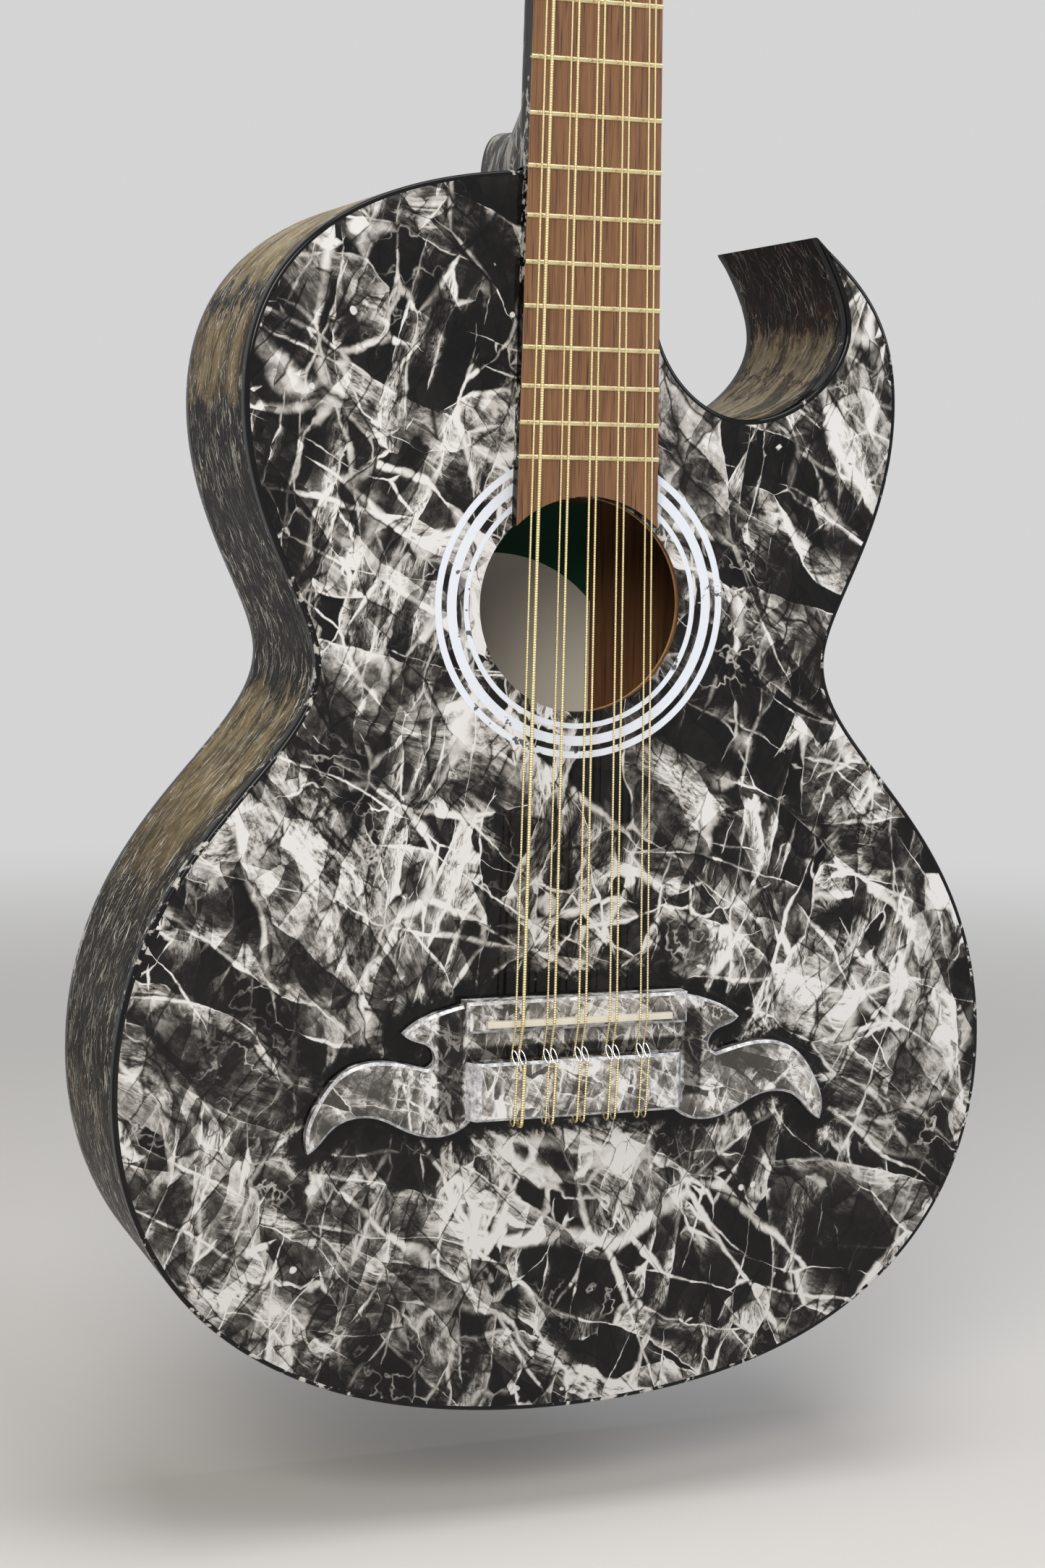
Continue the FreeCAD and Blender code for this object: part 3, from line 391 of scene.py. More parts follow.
def filmLacquer(name, gain, lift, start=(0.0, 0.0, 0.0), finer=1.0, halo=False, plain=()):
    # black and white paint under thick polyester lacquer: torn marbling deep in a wet gloss
    material, tree = startMaterial(name)
    solid = put(tree, "TexCoord", out="Object")
    edges = awayFromBridge(tree, solid) if halo else None
    place = put(tree, "VectorMath", {0: solid, 1: (finer, finer, finer), 2: start}, operation="MULTIPLY_ADD")
    level = crinkledFilm(tree, place, edges)
    level = put(tree, "Math", {0: level, 1: gain, 2: lift}, operation="MULTIPLY_ADD", use_clamp=True)
    for middle, half, kept in plain:
        # a darker block with a soft edge
        low = np.array([middle[0], 0.0, middle[1] + 1000 * saddleZ]) / 1000
        shares = put(tree, "VectorMath", {0: solid, 1: tuple(-low)}, operation="ADD")
        shares = put(tree, "VectorMath", {0: shares}, operation="ABSOLUTE")
        size = (half[0] / 1000, 1.0, half[1] / 1000)
        shares = put(tree, "VectorMath", {0: shares, 1: size}, operation="SUBTRACT")
        parts = put(tree, "SeparateXYZ", {"Vector": shares}).node.outputs
        beyond = put(tree, "Math", {0: parts["X"], 1: parts["Z"]}, operation="MAXIMUM")
        keep = put(tree, "MapRange", {"Value": beyond, "From Min": -film["soft"], "From Max": film["soft"],
                                      "To Min": kept})
        level = put(tree, "Math", {0: level, 1: keep}, operation="MULTIPLY")
    colour = blendColours(put(tree, "ValToRGB", {"Fac": level}), film["colours"])
    ripple = put(tree, "TexNoise", {"Vector": place, "Scale": 22.0, "Detail": 1.0})
    return finishMaterial(material, tree, {"Base Color": colour, "Roughness": 0.5, "IOR": 1.45,
                                           "Specular IOR Level": 0.0, "Coat Weight": 0.4,
                                           "Coat Roughness": 0.04, "Coat IOR": 1.5}, ripple, 0.00012)


fibres = {
    # strokes: turns a metre along and across, slant, noise level where they start and fill, strength
    "dark": [(14.0, 70.0, 0.10, 0.52, 0.40, 0.80), (50.0, 380.0, 0.30, 0.46, 0.40, 0.70)],
    "pale": [(52.0, 760.0, 0.08, 0.590, 0.630, 0.90), (60.0, 700.0, -0.38, 0.600, 0.640, 0.90),
             (75.0, 680.0, 0.60, 0.615, 0.655, 0.85)],
    # bands up the bass side: height over the saddle in mm, olive share
    "bands": [(-180, 0.0), (-94, 0.04), (-60, 0.10), (-43, 0.38), (-20, 0.12), (8, 0.20), (50, 0.22),
              (80, 0.62), (112, 0.88), (136, 0.80), (146, 0.10), (200, 0.05), (266, 0.0), (270, 0.68),
              (286, 0.78), (305, 0.76), (309, 0.02), (317, 0.06), (321, 0.72), (335, 0.92), (370, 0.95)],
    # bands in the cutaway's hollow
    "hollow": [(240, 0.95), (268, 0.92), (282, 0.85), (286, 0.35), (290, 0.85), (303, 0.75), (311, 0.25),
               (326, 0.06), (370, 0.02)],
    "jitter": 0.012, "mottle": 0.13,     # metres that the bands' edges wander; unevenness of the olive
    "rim": (0.006, 0.011, 0.8),          # dark beside the front edge: full to none in metres, strength
    "olives": [(0.0, "#0d0a08"), (0.30, "#2d2419"), (0.55, "#675739"), (0.80, "#907d58"), (1.0, "#b8a680")],
    "browns": [(0.0, "#1a0d0b"), (0.30, "#301c15"), (0.55, "#5c4c3c"), (0.80, "#8d8068"), (1.0, "#a4977c")],
    "inks": {"dark": "#0c0908", "pale": "#f0e9da"},
}


def fibreLacquer(name, bands, tint, flecks=1.0):
    # polyester lacquer over fibrous strokes: cream and grey fibres on olive and brown-black
    # bands, drawn out along the side, under the same deep gloss
    material, tree = startMaterial(name)
    place = put(tree, "UVMap", uv_map="along")
    solid = put(tree, "TexCoord", out="Object")
    wander = put(tree, "TexNoise", {"Vector": place, "Scale": 46.0, "Detail": 4.0, "Roughness": 0.65},
                 out="Color")
    wander = put(tree, "VectorMath", {0: wander, 1: (0.5, 0.5, 0.5)}, operation="SUBTRACT")
    drifted = put(tree, "VectorMath", {0: wander, 1: (0.010, 0.014, 0.0), 2: place}, operation="MULTIPLY_ADD")
    height = put(tree, "SeparateXYZ", {"Vector": solid}, out="Z")
    jitter = put(tree, "TexNoise", {"Vector": drifted, "Scale": 60.0, "Detail": 5.0, "Roughness": 0.7})
    jitter = put(tree, "MapRange", {"Value": jitter, "From Min": 0.3, "From Max": 0.7,
                                    "To Min": -fibres["jitter"], "To Max": fibres["jitter"]})
    height = put(tree, "Math", {0: height, 1: jitter}, operation="ADD")
    low, high = bands[0][0], bands[-1][0]
    share = put(tree, "MapRange", {"Value": height, "From Min": low / 1000 + saddleZ,
                                   "From Max": high / 1000 + saddleZ})
    greys = [((z - low) / (high - low), "#%02x%02x%02x" % ((round(255 * olive),) * 3)) for z, olive in bands]
    olive = blendColours(put(tree, "ValToRGB", {"Fac": share}), greys)
    olive = put(tree, "Math", {0: olive, 1: 0.4545}, operation="POWER")      # undoes the hex decoding
    mottle = put(tree, "TexNoise", {"Vector": drifted, "Scale": 70.0, "Detail": 5.0, "Roughness": 0.72})
    mottle = put(tree, "MapRange", {"Value": mottle, "From Min": 0.3, "From Max": 0.7,
                                    "To Min": -fibres["mottle"], "To Max": fibres["mottle"]})
    olive = put(tree, "Math", {0: olive, 1: mottle}, operation="ADD", use_clamp=True)
    colour = blendColours(put(tree, "ValToRGB", {"Fac": olive}), tint)
    depth = put(tree, "SeparateXYZ", {"Vector": drifted}, out="Y")
    edge, clear, strength = fibres["rim"]
    rim = put(tree, "MapRange", {"Value": depth, "From Min": edge, "From Max": clear, "To Min": strength,
                                 "To Max": 0.0})
    colour = put(tree, "Mix", {0: rim, 6: colour, 7: linear(fibres["inks"]["dark"])}, data_type="RGBA", out=2)
    clumps = put(tree, "TexNoise", {"Vector": place, "Scale": 38.0, "Detail": 3.0, "Roughness": 0.6})
    clump = put(tree, "MapRange", {"Value": clumps, "From Min": 0.40, "From Max": 0.56, "To Min": 0.25})
    for kind in ("dark", "pale"):
        for number, (long, fine, slant, start, full, strength) in enumerate(fibres[kind]):
            turned = put(tree, "VectorRotate", {"Vector": drifted, "Axis": (0, 0, 1), "Angle": slant})
            drawn = put(tree, "VectorMath", {0: turned, 1: (long, fine, 1.0), 2: (number, number, number)},
                        operation="MULTIPLY_ADD")
            strokes = put(tree, "TexNoise", {"Vector": drawn, "Scale": 1.0, "Detail": 4.0, "Roughness": 0.62})
            mark = put(tree, "MapRange", {"Value": strokes, "From Min": start, "From Max": full,
                                          "To Max": strength})
            if kind == "pale":
                mark = put(tree, "Math", {0: mark, 1: clump}, operation="MULTIPLY")
                mark = put(tree, "Math", {0: mark, 1: flecks}, operation="MULTIPLY")
            colour = put(tree, "Mix", {0: mark, 6: colour, 7: linear(fibres["inks"][kind])},
                         data_type="RGBA", out=2)
    return finishMaterial(material, tree, {"Base Color": colour, "Roughness": 0.5, "IOR": 1.45,
                                           "Specular IOR Level": 0.0, "Coat Weight": 0.2,
                                           "Coat Roughness": 0.05, "Coat IOR": 1.45})


def blackLacquer(name, flecks):
    # black polyester lacquer, sprayed: near black and mirror-like, with stray pale flecks
    material, tree = startMaterial(name)
    place = put(tree, "TexCoord", out="Object")
    spots = put(tree, "TexNoise", {"Vector": place, "Scale": 210.0, "Detail": 3.0, "Roughness": 0.6})
    spread = put(tree, "TexNoise", {"Vector": place, "Scale": 24.0, "Detail": 1.0})
    mixed = put(tree, "Math", {0: spots, 1: spread}, operation="MULTIPLY")
    fleck = put(tree, "MapRange", {"Value": mixed, "From Min": flecks, "From Max": flecks + 0.05})
    colour = put(tree, "Mix", {0: fleck, 6: linear("#0b0b0c"), 7: linear("#c4c1bb")}, data_type="RGBA", out=2)
    return finishMaterial(material, tree, {"Base Color": colour, "Roughness": 0.4, "IOR": 1.5,
                                           "Specular IOR Level": 0.0, "Coat Weight": 0.5,
                                           "Coat Roughness": 0.05, "Coat IOR": 1.5})


def plainWood(name, colours, grain, roughness, bump):
    # sawn and sanded wood: darker pores drawn out along the neck or the board, a satin sheen
    material, tree = startMaterial(name)
    place = put(tree, "TexCoord", out="Object")
    long = put(tree, "VectorMath", {0: place, 1: grain}, operation="MULTIPLY")
    figure = put(tree, "TexNoise", {"Vector": long, "Scale": 1.0, "Detail": 4.0, "Roughness": 0.62,
                                    "Distortion": 0.3})
    pores = put(tree, "VectorMath", {0: long, 1: (4.5, 4.5, 1.6)}, operation="MULTIPLY")
    pore = put(tree, "TexNoise", {"Vector": pores, "Scale": 1.0, "Detail": 2.0, "Roughness": 0.5})
    depth = put(tree, "MapRange", {"Value": pore, "From Min": 0.30, "From Max": 0.44})
    colour = blendColours(put(tree, "ValToRGB", {"Fac": figure}), colours)
    colour = put(tree, "Mix", {0: depth, 6: linear(colours[0][1]), 7: colour}, data_type="RGBA", out=2)
    surface = {"Base Color": colour, "Roughness": roughness, "IOR": 1.45}
    return finishMaterial(material, tree, surface, depth, bump)


def brushedMetal(name, hexColour, roughness, wear):
    # drawn and polished metal, softened by fine scratches and a little tarnish
    material, tree = startMaterial(name)
    place = put(tree, "TexCoord", out="Object")
    dull = put(tree, "TexNoise", {"Vector": place, "Scale": 900.0, "Detail": 3.0})
    stain = put(tree, "TexNoise", {"Vector": place, "Scale": 120.0, "Detail": 2.0})
    rough = put(tree, "MapRange", {"Value": dull, "To Min": roughness - 0.08, "To Max": roughness + 0.10})
    shade = put(tree, "MapRange", {"Value": stain, "From Min": 0.35, "From Max": 0.7, "To Max": wear})
    dark = tuple(0.5 * value for value in linear(hexColour)[:3]) + (1.0,)
    colour = put(tree, "Mix", {0: shade, 6: linear(hexColour), 7: dark}, data_type="RGBA", out=2)
    return finishMaterial(material, tree, {"Base Color": colour, "Metallic": 1.0, "Roughness": rough})


def woundBronze():
    # phosphor bronze wire wound on a steel core: golden, with a fine rib along the string and painted
    # shade in the grooves between ribs; the ribs are drawn 1.1 mm apart, coarser than the real winding, so that
    # they show
    look = {"rib": 0.0011, "depth": 0.00008, "colour": "#efe0b0", "gap": "#b39c62"}
    material, tree = startMaterial("woundBronze")
    place = put(tree, "TexCoord", out="Object")
    height = put(tree, "SeparateXYZ", {"Vector": place}, out="Z")
    along = put(tree, "Math", {0: height, 1: 2 * math.pi / look["rib"]}, operation="MULTIPLY")
    rib = put(tree, "Math", {0: along}, operation="SINE")
    crest = put(tree, "MapRange", {"Value": rib, "From Min": -1.0, "From Max": 0.2})
    # painted shade: the grooves between the ribs take the darker gap colour
    colour = put(tree, "Mix", {0: crest, 6: linear(look["gap"]), 7: linear(look["colour"])},
                 data_type="RGBA", out=2)
    surface = {"Base Color": colour, "Metallic": 0.7, "Roughness": 0.3}
    return finishMaterial(material, tree, surface, rib, look["depth"])


def paintedHighlightEdge():
    # thick clear lacquer ground to a bevel, coloured pale silver as a painted highlight: the bright silvery line
    # where it catches the light
    material, tree = startMaterial("clearLacquerPaintedHighlight")
    place = put(tree, "TexCoord", out="Object")
    cloud = put(tree, "TexNoise", {"Vector": place, "Scale": 260.0, "Detail": 4.0, "Roughness": 0.7})
    level = put(tree, "MapRange", {"Value": cloud, "From Min": 0.35, "From Max": 0.65})
    colour = put(tree, "Mix", {0: level, 6: linear("#6f7074"), 7: linear("#e9eaee")}, data_type="RGBA", out=2)
    return finishMaterial(material, tree, {"Base Color": colour, "Roughness": 0.25, "IOR": 1.5,
                                           "Coat Weight": 1.0, "Coat Roughness": 0.04, "Coat IOR": 1.5})


def polishedBone(name, hexColour):
    # cut and polished bone: warm white, faint pores and a soft gloss
    material, tree = startMaterial(name)
    place = put(tree, "TexCoord", out="Object")
    mottle = put(tree, "TexNoise", {"Vector": place, "Scale": 160.0, "Detail": 3.0})
    pale = put(tree, "MapRange", {"Value": mottle, "To Min": 0.88, "To Max": 1.06})
    colour = put(tree, "VectorMath", {0: linear(hexColour)[:3], "Scale": pale}, operation="SCALE")
    return finishMaterial(material, tree, {"Base Color": colour, "Roughness": 0.3, "IOR": 1.5}, mottle, 0.00003)


def chippedCelluloid():
    # cast celluloid strips in the rosette: bluish white and glossy, with dark chips where the
    # paint beside them crept over
    material, tree = startMaterial("chippedCelluloid")
    place = put(tree, "TexCoord", out="Object")
    chips = put(tree, "TexNoise", {"Vector": place, "Scale": 190.0, "Detail": 3.0, "Roughness": 0.6})
    spread = put(tree, "TexNoise", {"Vector": place, "Scale": 28.0, "Detail": 1.0})
    both = put(tree, "Math", {0: chips, 1: spread}, operation="MULTIPLY")
    chip = put(tree, "MapRange", {"Value": both, "From Min": 0.385, "From Max": 0.405})
    colour = put(tree, "Mix", {0: chip, 6: linear("#e0e6f0"), 7: linear("#4a4a4e")}, data_type="RGBA", out=2)
    return finishMaterial(material, tree, {"Base Color": colour, "Roughness": 0.35, "IOR": 1.5,
                                           "Coat Weight": 1.0, "Coat Roughness": 0.04, "Coat IOR": 1.5})


def mouldedPlastic(name, hexColour):
    # moulded ABS: even colour, fine skin and a soft gloss
    material, tree = startMaterial(name)
    place = put(tree, "TexCoord", out="Object")
    skin = put(tree, "TexNoise", {"Vector": place, "Scale": 1400.0, "Detail": 2.0})
    rough = put(tree, "MapRange", {"Value": skin, "To Min": 0.24, "To Max": 0.38})
    surface = {"Base Color": linear(hexColour), "Roughness": rough, "IOR": 1.46}
    return finishMaterial(material, tree, surface, skin, 0.00001)


labelLook = {
    "paper": "#f7f2e4", "green": "#24503c",
    "arch": (-0.004, -0.034, 0.066), "disc": (-0.016, -0.030, 0.007),      # right, up, radius in metres
}


def printedPaper():
    # uncoated paper: matte cream with a faint tooth, green above an arch and a small green disc
    low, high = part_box("sound_label")
    middle = (low + high) / 2
    material, tree = startMaterial("printedPaper")
    place = put(tree, "TexCoord", out="Object")
    flat = put(tree, "VectorMath", {0: place, 1: (1.0, 0.0, 1.0)}, operation="MULTIPLY")
    reach = []
    for shape in ("arch", "disc"):
        right, up, radius = labelLook[shape]
        at = (middle.x + right, 0.0, middle.z + up)
        gap = put(tree, "VectorMath", {0: flat, 1: at}, operation="DISTANCE", out="Value")
        reach.append(put(tree, "Math", {0: gap, 1: radius}, operation="DIVIDE"))
    beyond = put(tree, "Math", {0: reach[0], 1: 1.0}, operation="GREATER_THAN")
    within = put(tree, "Math", {0: reach[1], 1: 1.0}, operation="LESS_THAN")
    mark = put(tree, "Math", {0: beyond, 1: within}, operation="MAXIMUM")
    tooth = put(tree, "TexNoise", {"Vector": place, "Scale": 900.0, "Detail": 2.0})
    colour = put(tree, "Mix", {0: mark, 6: linear(labelLook["paper"]), 7: linear(labelLook["green"])},
                 data_type="RGBA", out=2)
    surface = {"Base Color": colour, "Roughness": 0.85, "IOR": 1.4}
    return finishMaterial(material, tree, surface, tooth, 0.00004)


topLacquer = filmLacquer("filmLacquerTop", 1.0, 0.0, halo=True)
backLacquer = filmLacquer("filmLacquerBack", 1.0, -0.02, (0.31, 0.0, 0.17))
bridgeLacquer = filmLacquer("filmLacquerBridge", 1.22, 0.17, (0.13, 0.0, 0.52), finer=2.1, plain=[
    # middle x and height over the saddle, half sizes, share kept: darker blocks in the gap before the tie block
    # and the two strips between the slab and the wings
    ((0.0, -14.0), (52.0, 3.2), 0.3),
    ((-58.5, -18.0), (6.0, 26.0), 0.35),
    ((57.0, -18.0), (4.5, 20.0), 0.35)])
bridgeEdgeHighlight = paintedHighlightEdge()
neckLacquer = filmLacquer("filmLacquerNeck", 0.7, -0.12, (0.0, 0.3, 0.0))
sideLacquer = fibreLacquer("fibreLacquerSide", fibres["bands"], fibres["olives"])
hollowLacquer = fibreLacquer("fibreLacquerHollow", fibres["hollow"], fibres["browns"], flecks=0.35)
edgeLacquer = blackLacquer("blackLacquerEdge", 0.33)
boardLacquer = blackLacquer("blackLacquerBoard", 0.33)

# each wood: colours from pore to crest, pores a metre across and along, roughness, pore depth in metres
woods = {
    "sawnCedar": ([(0.25, "#4d2f1c"), (0.5, "#7a5233"), (0.8, "#9a6d47")], (160.0, 160.0, 9.0), 0.7, 0.0001),
    "sandedSpruce": ([(0.25, "#a07c4f"), (0.5, "#c3a06f"), (0.8, "#d8bb8c")], (240.0, 240.0, 8.0), 0.65, 0.0001),
    "sandedMaple": ([(0.25, "#8c6842"), (0.5, "#b08a5d"), (0.8, "#c8a679")], (200.0, 200.0, 12.0), 0.6, 0.0001),
    "oiledGranadillo": ([(0.2, "#3c2517"), (0.40, "#745036"), (0.6, "#856040"), (0.85, "#99724e")],
                        (420.0, 420.0, 22.0), 0.5, 0.0001),
}
cedar, spruce, maple, granadillo = [plainWood(name, *look) for name, look in woods.items()]
fretBrass = brushedMetal("polishedBrass", "#ece0b2", 0.26, 0.1)
nickel = brushedMetal("nickelPlate", "#c9c5bd", 0.22, 0.3)
wheelBrass = brushedMetal("cutBrass", "#c9a45c", 0.3, 0.3)
screwSteel = brushedMetal("darkenedSteel", "#83817d", 0.3, 0.3)
steel = brushedMetal("plainSteel", "#dfe1e4", 0.24, 0.1)
bronze = woundBronze()
bone = polishedBone("polishedBone", "#d9d3c4")
celluloid = chippedCelluloid()
pinPlastic = mouldedPlastic("mouldedPinPlastic", "#111112")
labelPaper = printedPaper()
print("finishes made")


# ---- sound box walls

boxShape = {
    "scale": 740.0, "bodyLength": 550.0,
    "lower": (207.0, 155.0), "waist": (120.0, 213.0), "upper": (152.0, 100.0),   # half width, place
    "tailPull": 0.68, "lowerPulls": (0.57, 0.58), "waistPulls": (0.24, 0.22), "upperPulls": (0.48, 0.57),
    "shoulderPull": 0.74,
    "hornTip": (42.4, 22.8), "hornOut": (39.2, 27.0), "hornRise": 45.0, "hornIn": (56.7, 12.7),
    "hollowSide": (26.0, 63.0), "hollowFloor": (74.2, 104.4), "besideNeck": (32.6, 56.5), "neckHalf": 30.7,
    "depth": 108.0, "wall": 2.2, "bindingHeight": 6.0, "edgeRound": 1.5, "steps": 44,
}


def bezier(start, pullStart, pullEnd, end, steps):
    # cubic curve: the four poles weighted by the cubic Bernstein shares, last point left out
    t = np.linspace(0, 1, steps, endpoint=False)[:, None]
    return ((1 - t) ** 3 * start + 3 * (1 - t) ** 2 * t * pullStart
            + 3 * (1 - t) * t ** 2 * pullEnd + t ** 3 * end)


def boxOutline(shape):
    # closed outline in mm, clockwise from the tail: up the bass side, down the cutaway, then the
    # treble side; also where the top's middle and the horn's tip fall in it
    steps = shape["steps"]
    joint = shape["scale"] / 2
    tail = joint - shape["bodyLength"]
    up = np.array([0.0, 1.0])
    across = np.array([1.0, 0.0])

    def half(side):
        lower = np.array([side * shape["lower"][0], tail + shape["lower"][1]])
        waist = np.array([side * shape["waist"][0], joint - shape["waist"][1]])
        upper = np.array([side * shape["upper"][0], joint - shape["upper"][1]])
        rise = waist[1] - lower[1]
        reach = upper[1] - waist[1]
        pulls = shape["lowerPulls"], shape["waistPulls"], shape["upperPulls"]
        tailPoint = np.array([0.0, tail])
        return [
            (tailPoint, tailPoint + side * shape["tailPull"] * shape["lower"][0] * across,
             lower - pulls[0][0] * shape["lower"][1] * up, lower),
            (lower, lower + pulls[0][1] * rise * up, waist - pulls[1][0] * rise * up, waist),
            (waist, waist + pulls[1][1] * reach * up, upper - pulls[2][0] * reach * up, upper),
        ], upper

    bass, upperBass = half(-1)
    treble, upperTreble = half(1)
    top = np.array([0.0, joint])
    bass.append((upperBass, upperBass + shape["upperPulls"][1] * shape["upper"][1] * up,
                 top - shape["shoulderPull"] * shape["upper"][0] * across, top))

    def inside(inAndDown):
        return np.array([shape["upper"][0] - inAndDown[0], joint - inAndDown[1]])

    def fromTip(angle, reach):
        turn = math.radians(angle)
        return inside(shape["hornTip"]) + reach * np.array([math.cos(turn), -math.sin(turn)])

    tip = inside(shape["hornTip"])
    side = inside(shape["hollowSide"])
    floor = inside(shape["hollowFloor"])
    beside = np.array([shape["besideNeck"][0], joint - shape["besideNeck"][1]])
    corner = np.array([shape["neckHalf"], joint])
    treble.append((upperTreble, upperTreble + shape["hornRise"] * up, fromTip(*shape["hornOut"]), tip))
    sideLift = 0.34 * (shape["hollowSide"][1] - shape["hornTip"][1])
    drop = side[1] - floor[1]
    hollow = [
        (tip, fromTip(*shape["hornIn"]), side + sideLift * up, side),
        (side, side - 0.47 * drop * up, floor + 0.5 * (side[0] - floor[0]) * across, floor),
        (floor, floor - 0.52 * (floor[0] - beside[0]) * across,
         beside - 0.5 * (beside[1] - floor[1]) * up, beside),
    ]
    upBass = np.concatenate([bezier(*curve, steps) for curve in bass])
    upTreble = np.concatenate([bezier(*curve, steps) for curve in treble])
    downHollow = np.concatenate([bezier(*curve, steps) for curve in hollow] + [[beside, corner]])
    outline = np.concatenate([upBass, [top], downHollow[::-1], upTreble[::-1][:-1]])
    return outline, len(upBass), len(upBass) + len(downHollow)


def outwards(outline):
    # mitred outward direction at each point of the closed outline
    along = np.roll(outline, -1, axis=0) - outline
    along /= np.linalg.norm(along, axis=1)[:, None]
    after = np.stack([-along[:, 1], along[:, 0]], axis=1)
    before = np.roll(after, 1, axis=0)
    return (before + after) / (1 + (before * after).sum(1))[:, None]


outline, topPlace, tipPlace = boxOutline(boxShape)
outward = outwards(outline)


def wallAlong(name, picks, profile, slotOf, materials):
    # the closed profile (mm inwards, mm deep) carried along the picked stretch of the outline
    closed = len(picks) == len(outline)
    ring = np.asarray(profile, dtype=float)
    path, out = outline[picks], outward[picks]
    tipGap = np.linalg.norm(path - outline[tipPlace], axis=1)
    thin = np.clip(0.12 * tipGap, 0.1, 1.0)      # the wall thins into the horn's sharp tip
    flat = path[:, None, :] - out[:, None, :] * (thin[:, None] * ring[None, :, 0])[..., None]
    points = inGuitar(flat[..., 0], ring[None, :, 1], flat[..., 1])
    run = np.concatenate([[0], np.linalg.norm(np.diff(path, axis=0), axis=1).cumsum()])
    girth = np.concatenate([[0], np.linalg.norm(np.diff(ring, axis=0), axis=1).cumsum()])
    uv = np.stack(np.broadcast_arrays(run[:, None] / 1000, girth[None, :] / 1000), axis=-1)
    faces = gridFaces(len(path), len(ring), closed, True)
    slots = np.tile([slotOf(k) for k in range(len(ring))], len(path) if closed else len(path) - 1)
    faces = [tuple(face[::-1]) for face in faces.tolist()]
    if not closed:
        faces.append(tuple(range(len(ring))))
        faces.append(tuple(range((len(path) - 1) * len(ring), len(path) * len(ring)))[::-1])
        slots = np.concatenate([slots, [0, 0]])
    piece = makePiece(name, points, faces, uv, slots, materials)
    finishEdges(piece)
    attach(piece, "guitar")
    return piece


def buildWalls(shape):
    wall, depth, lip, edge = shape["wall"], shape["depth"], shape["bindingHeight"], shape["edgeRound"]
    levels = np.linspace(lip, depth - lip, 9)
    sideProfile = [(0.0, y) for y in levels] + [(wall, depth - lip), (wall, lip)]
    outerRows = len(levels) - 1
    stretches = {"bass": (0, topPlace + 1), "cutaway": (topPlace, tipPlace + 1),
                 "treble": (tipPlace, len(outline) + 1)}
    for name, (start, stop) in stretches.items():
        picks = np.arange(start, stop) % len(outline)
        outer = hollowLacquer if name == "cutaway" else sideLacquer
        piece = wallAlong(name + "_side_shell", picks, sideProfile, lambda k: 0 if k < outerRows else 1,
                          [outer, cedar])
        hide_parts(name + "_side")
    bend = np.linspace(0, math.pi / 2, 6)
    corner = [(edge - edge * math.cos(a), edge - edge * math.sin(a)) for a in bend]
    strip = [(wall, lip), (0.0, lip)] + corner + [(wall, 0.0)]
    for name, flip in (("front_binding", False), ("back_binding", True)):
        profile = [(d, depth - y) for d, y in strip] if flip else strip[::-1]
        piece = wallAlong(name + "_strip", np.arange(len(outline)), profile, lambda k: 0, [edgeLacquer])
        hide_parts(name)


buildWalls(boxShape)
print("walls and bindings built")


# ---- string loops at the tie block

loops = {
    "coursePitch": 14.8, "pairGap": 3.3, "slant": 1.1,      # mm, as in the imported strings
    "low": (-12.7, -17.6), "high": (-9.4, -12.6),           # depth and height of the loop's two ends
    "half": 1.25, "wire": 0.26, "around": 40, "section": 8,
}


def buildLoops():
    # each string's end is a plain wire loop that hooks over the incoming string: an oval ring,
    # centre + a cos t u + b sin t x, swept by a round section
    t = np.linspace(0, 2 * math.pi, loops["around"], endpoint=False)
    turn = np.linspace(0, 2 * math.pi, loops["section"], endpoint=False)
    low, high = np.array(loops["low"]), np.array(loops["high"])
    reach = np.linalg.norm(high - low)
    lean = (high - low) / reach
    points, faces = [], []
    for string in range(10):
        middle = (string // 2 - 2) * loops["coursePitch"] + (string % 2 - 0.5) * loops["pairGap"]
        centre = np.array([middle + loops["slant"] / 2, *(low + high) / 2])
        along = np.array([-0.5 * loops["slant"] / reach, *lean])
        across = np.array([1.0, 0.0, 0.0])
        normal = np.array([0.0, lean[1], -lean[0]])
        spine = np.cos(t)[:, None] * along * (reach / 2 + 0.5) + np.sin(t)[:, None] * across * loops["half"]
        flow = -np.sin(t)[:, None] * along * (reach / 2 + 0.5) + np.cos(t)[:, None] * across * loops["half"]
        off = np.cross(flow / np.linalg.norm(flow, axis=1)[:, None], normal)
        ring = (centre + spine)[:, None, :] + loops["wire"] * (
            np.cos(turn)[None, :, None] * off[:, None, :] + np.sin(turn)[None, :, None] * normal)
        faces.append(gridFaces(len(t), len(turn), True, True)[:, ::-1] + len(t) * len(turn) * string)
        points.append(ring.reshape(-1, 3))
    points = inGuitar(*np.concatenate(points).T)
    piece = makePiece("string_loops", points, np.concatenate(faces).tolist(), materials=[steel])
    finishEdges(piece)
    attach(piece, "guitar")


buildLoops()


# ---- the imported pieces

def frontElseBack(normal, centre):
    # 0 on faces that look out of the guitar's front, 1 on all others
    return np.where(normal[:, 1] < -0.5, 0, 1)


def backElseInside(normal, centre):
    # 0 on faces that look out of the back, 1 on all others
    return np.where(normal[:, 1] > 0.5, 0, 1)


def dressBox():
    dressNode("soundboard", [topLacquer, cedar], choose=frontElseBack)
    dressNode("back_plate", [backLacquer, cedar], choose=backElseInside)
    dressNode("rosette_rings", [celluloid])
    for name in ("neck_block", "tail_block", "soundboard_lining", "back_lining"):
        dressNode(name, [cedar])
    for name in ("soundboard_bars", "back_braces", "soundhole_patch"):
        dressNode(name, [spruce])
    dressNode("bridge_plate", [maple])
    dressNode("sound_label", [labelPaper])
    dressNode("end_pin", [pinPlastic])


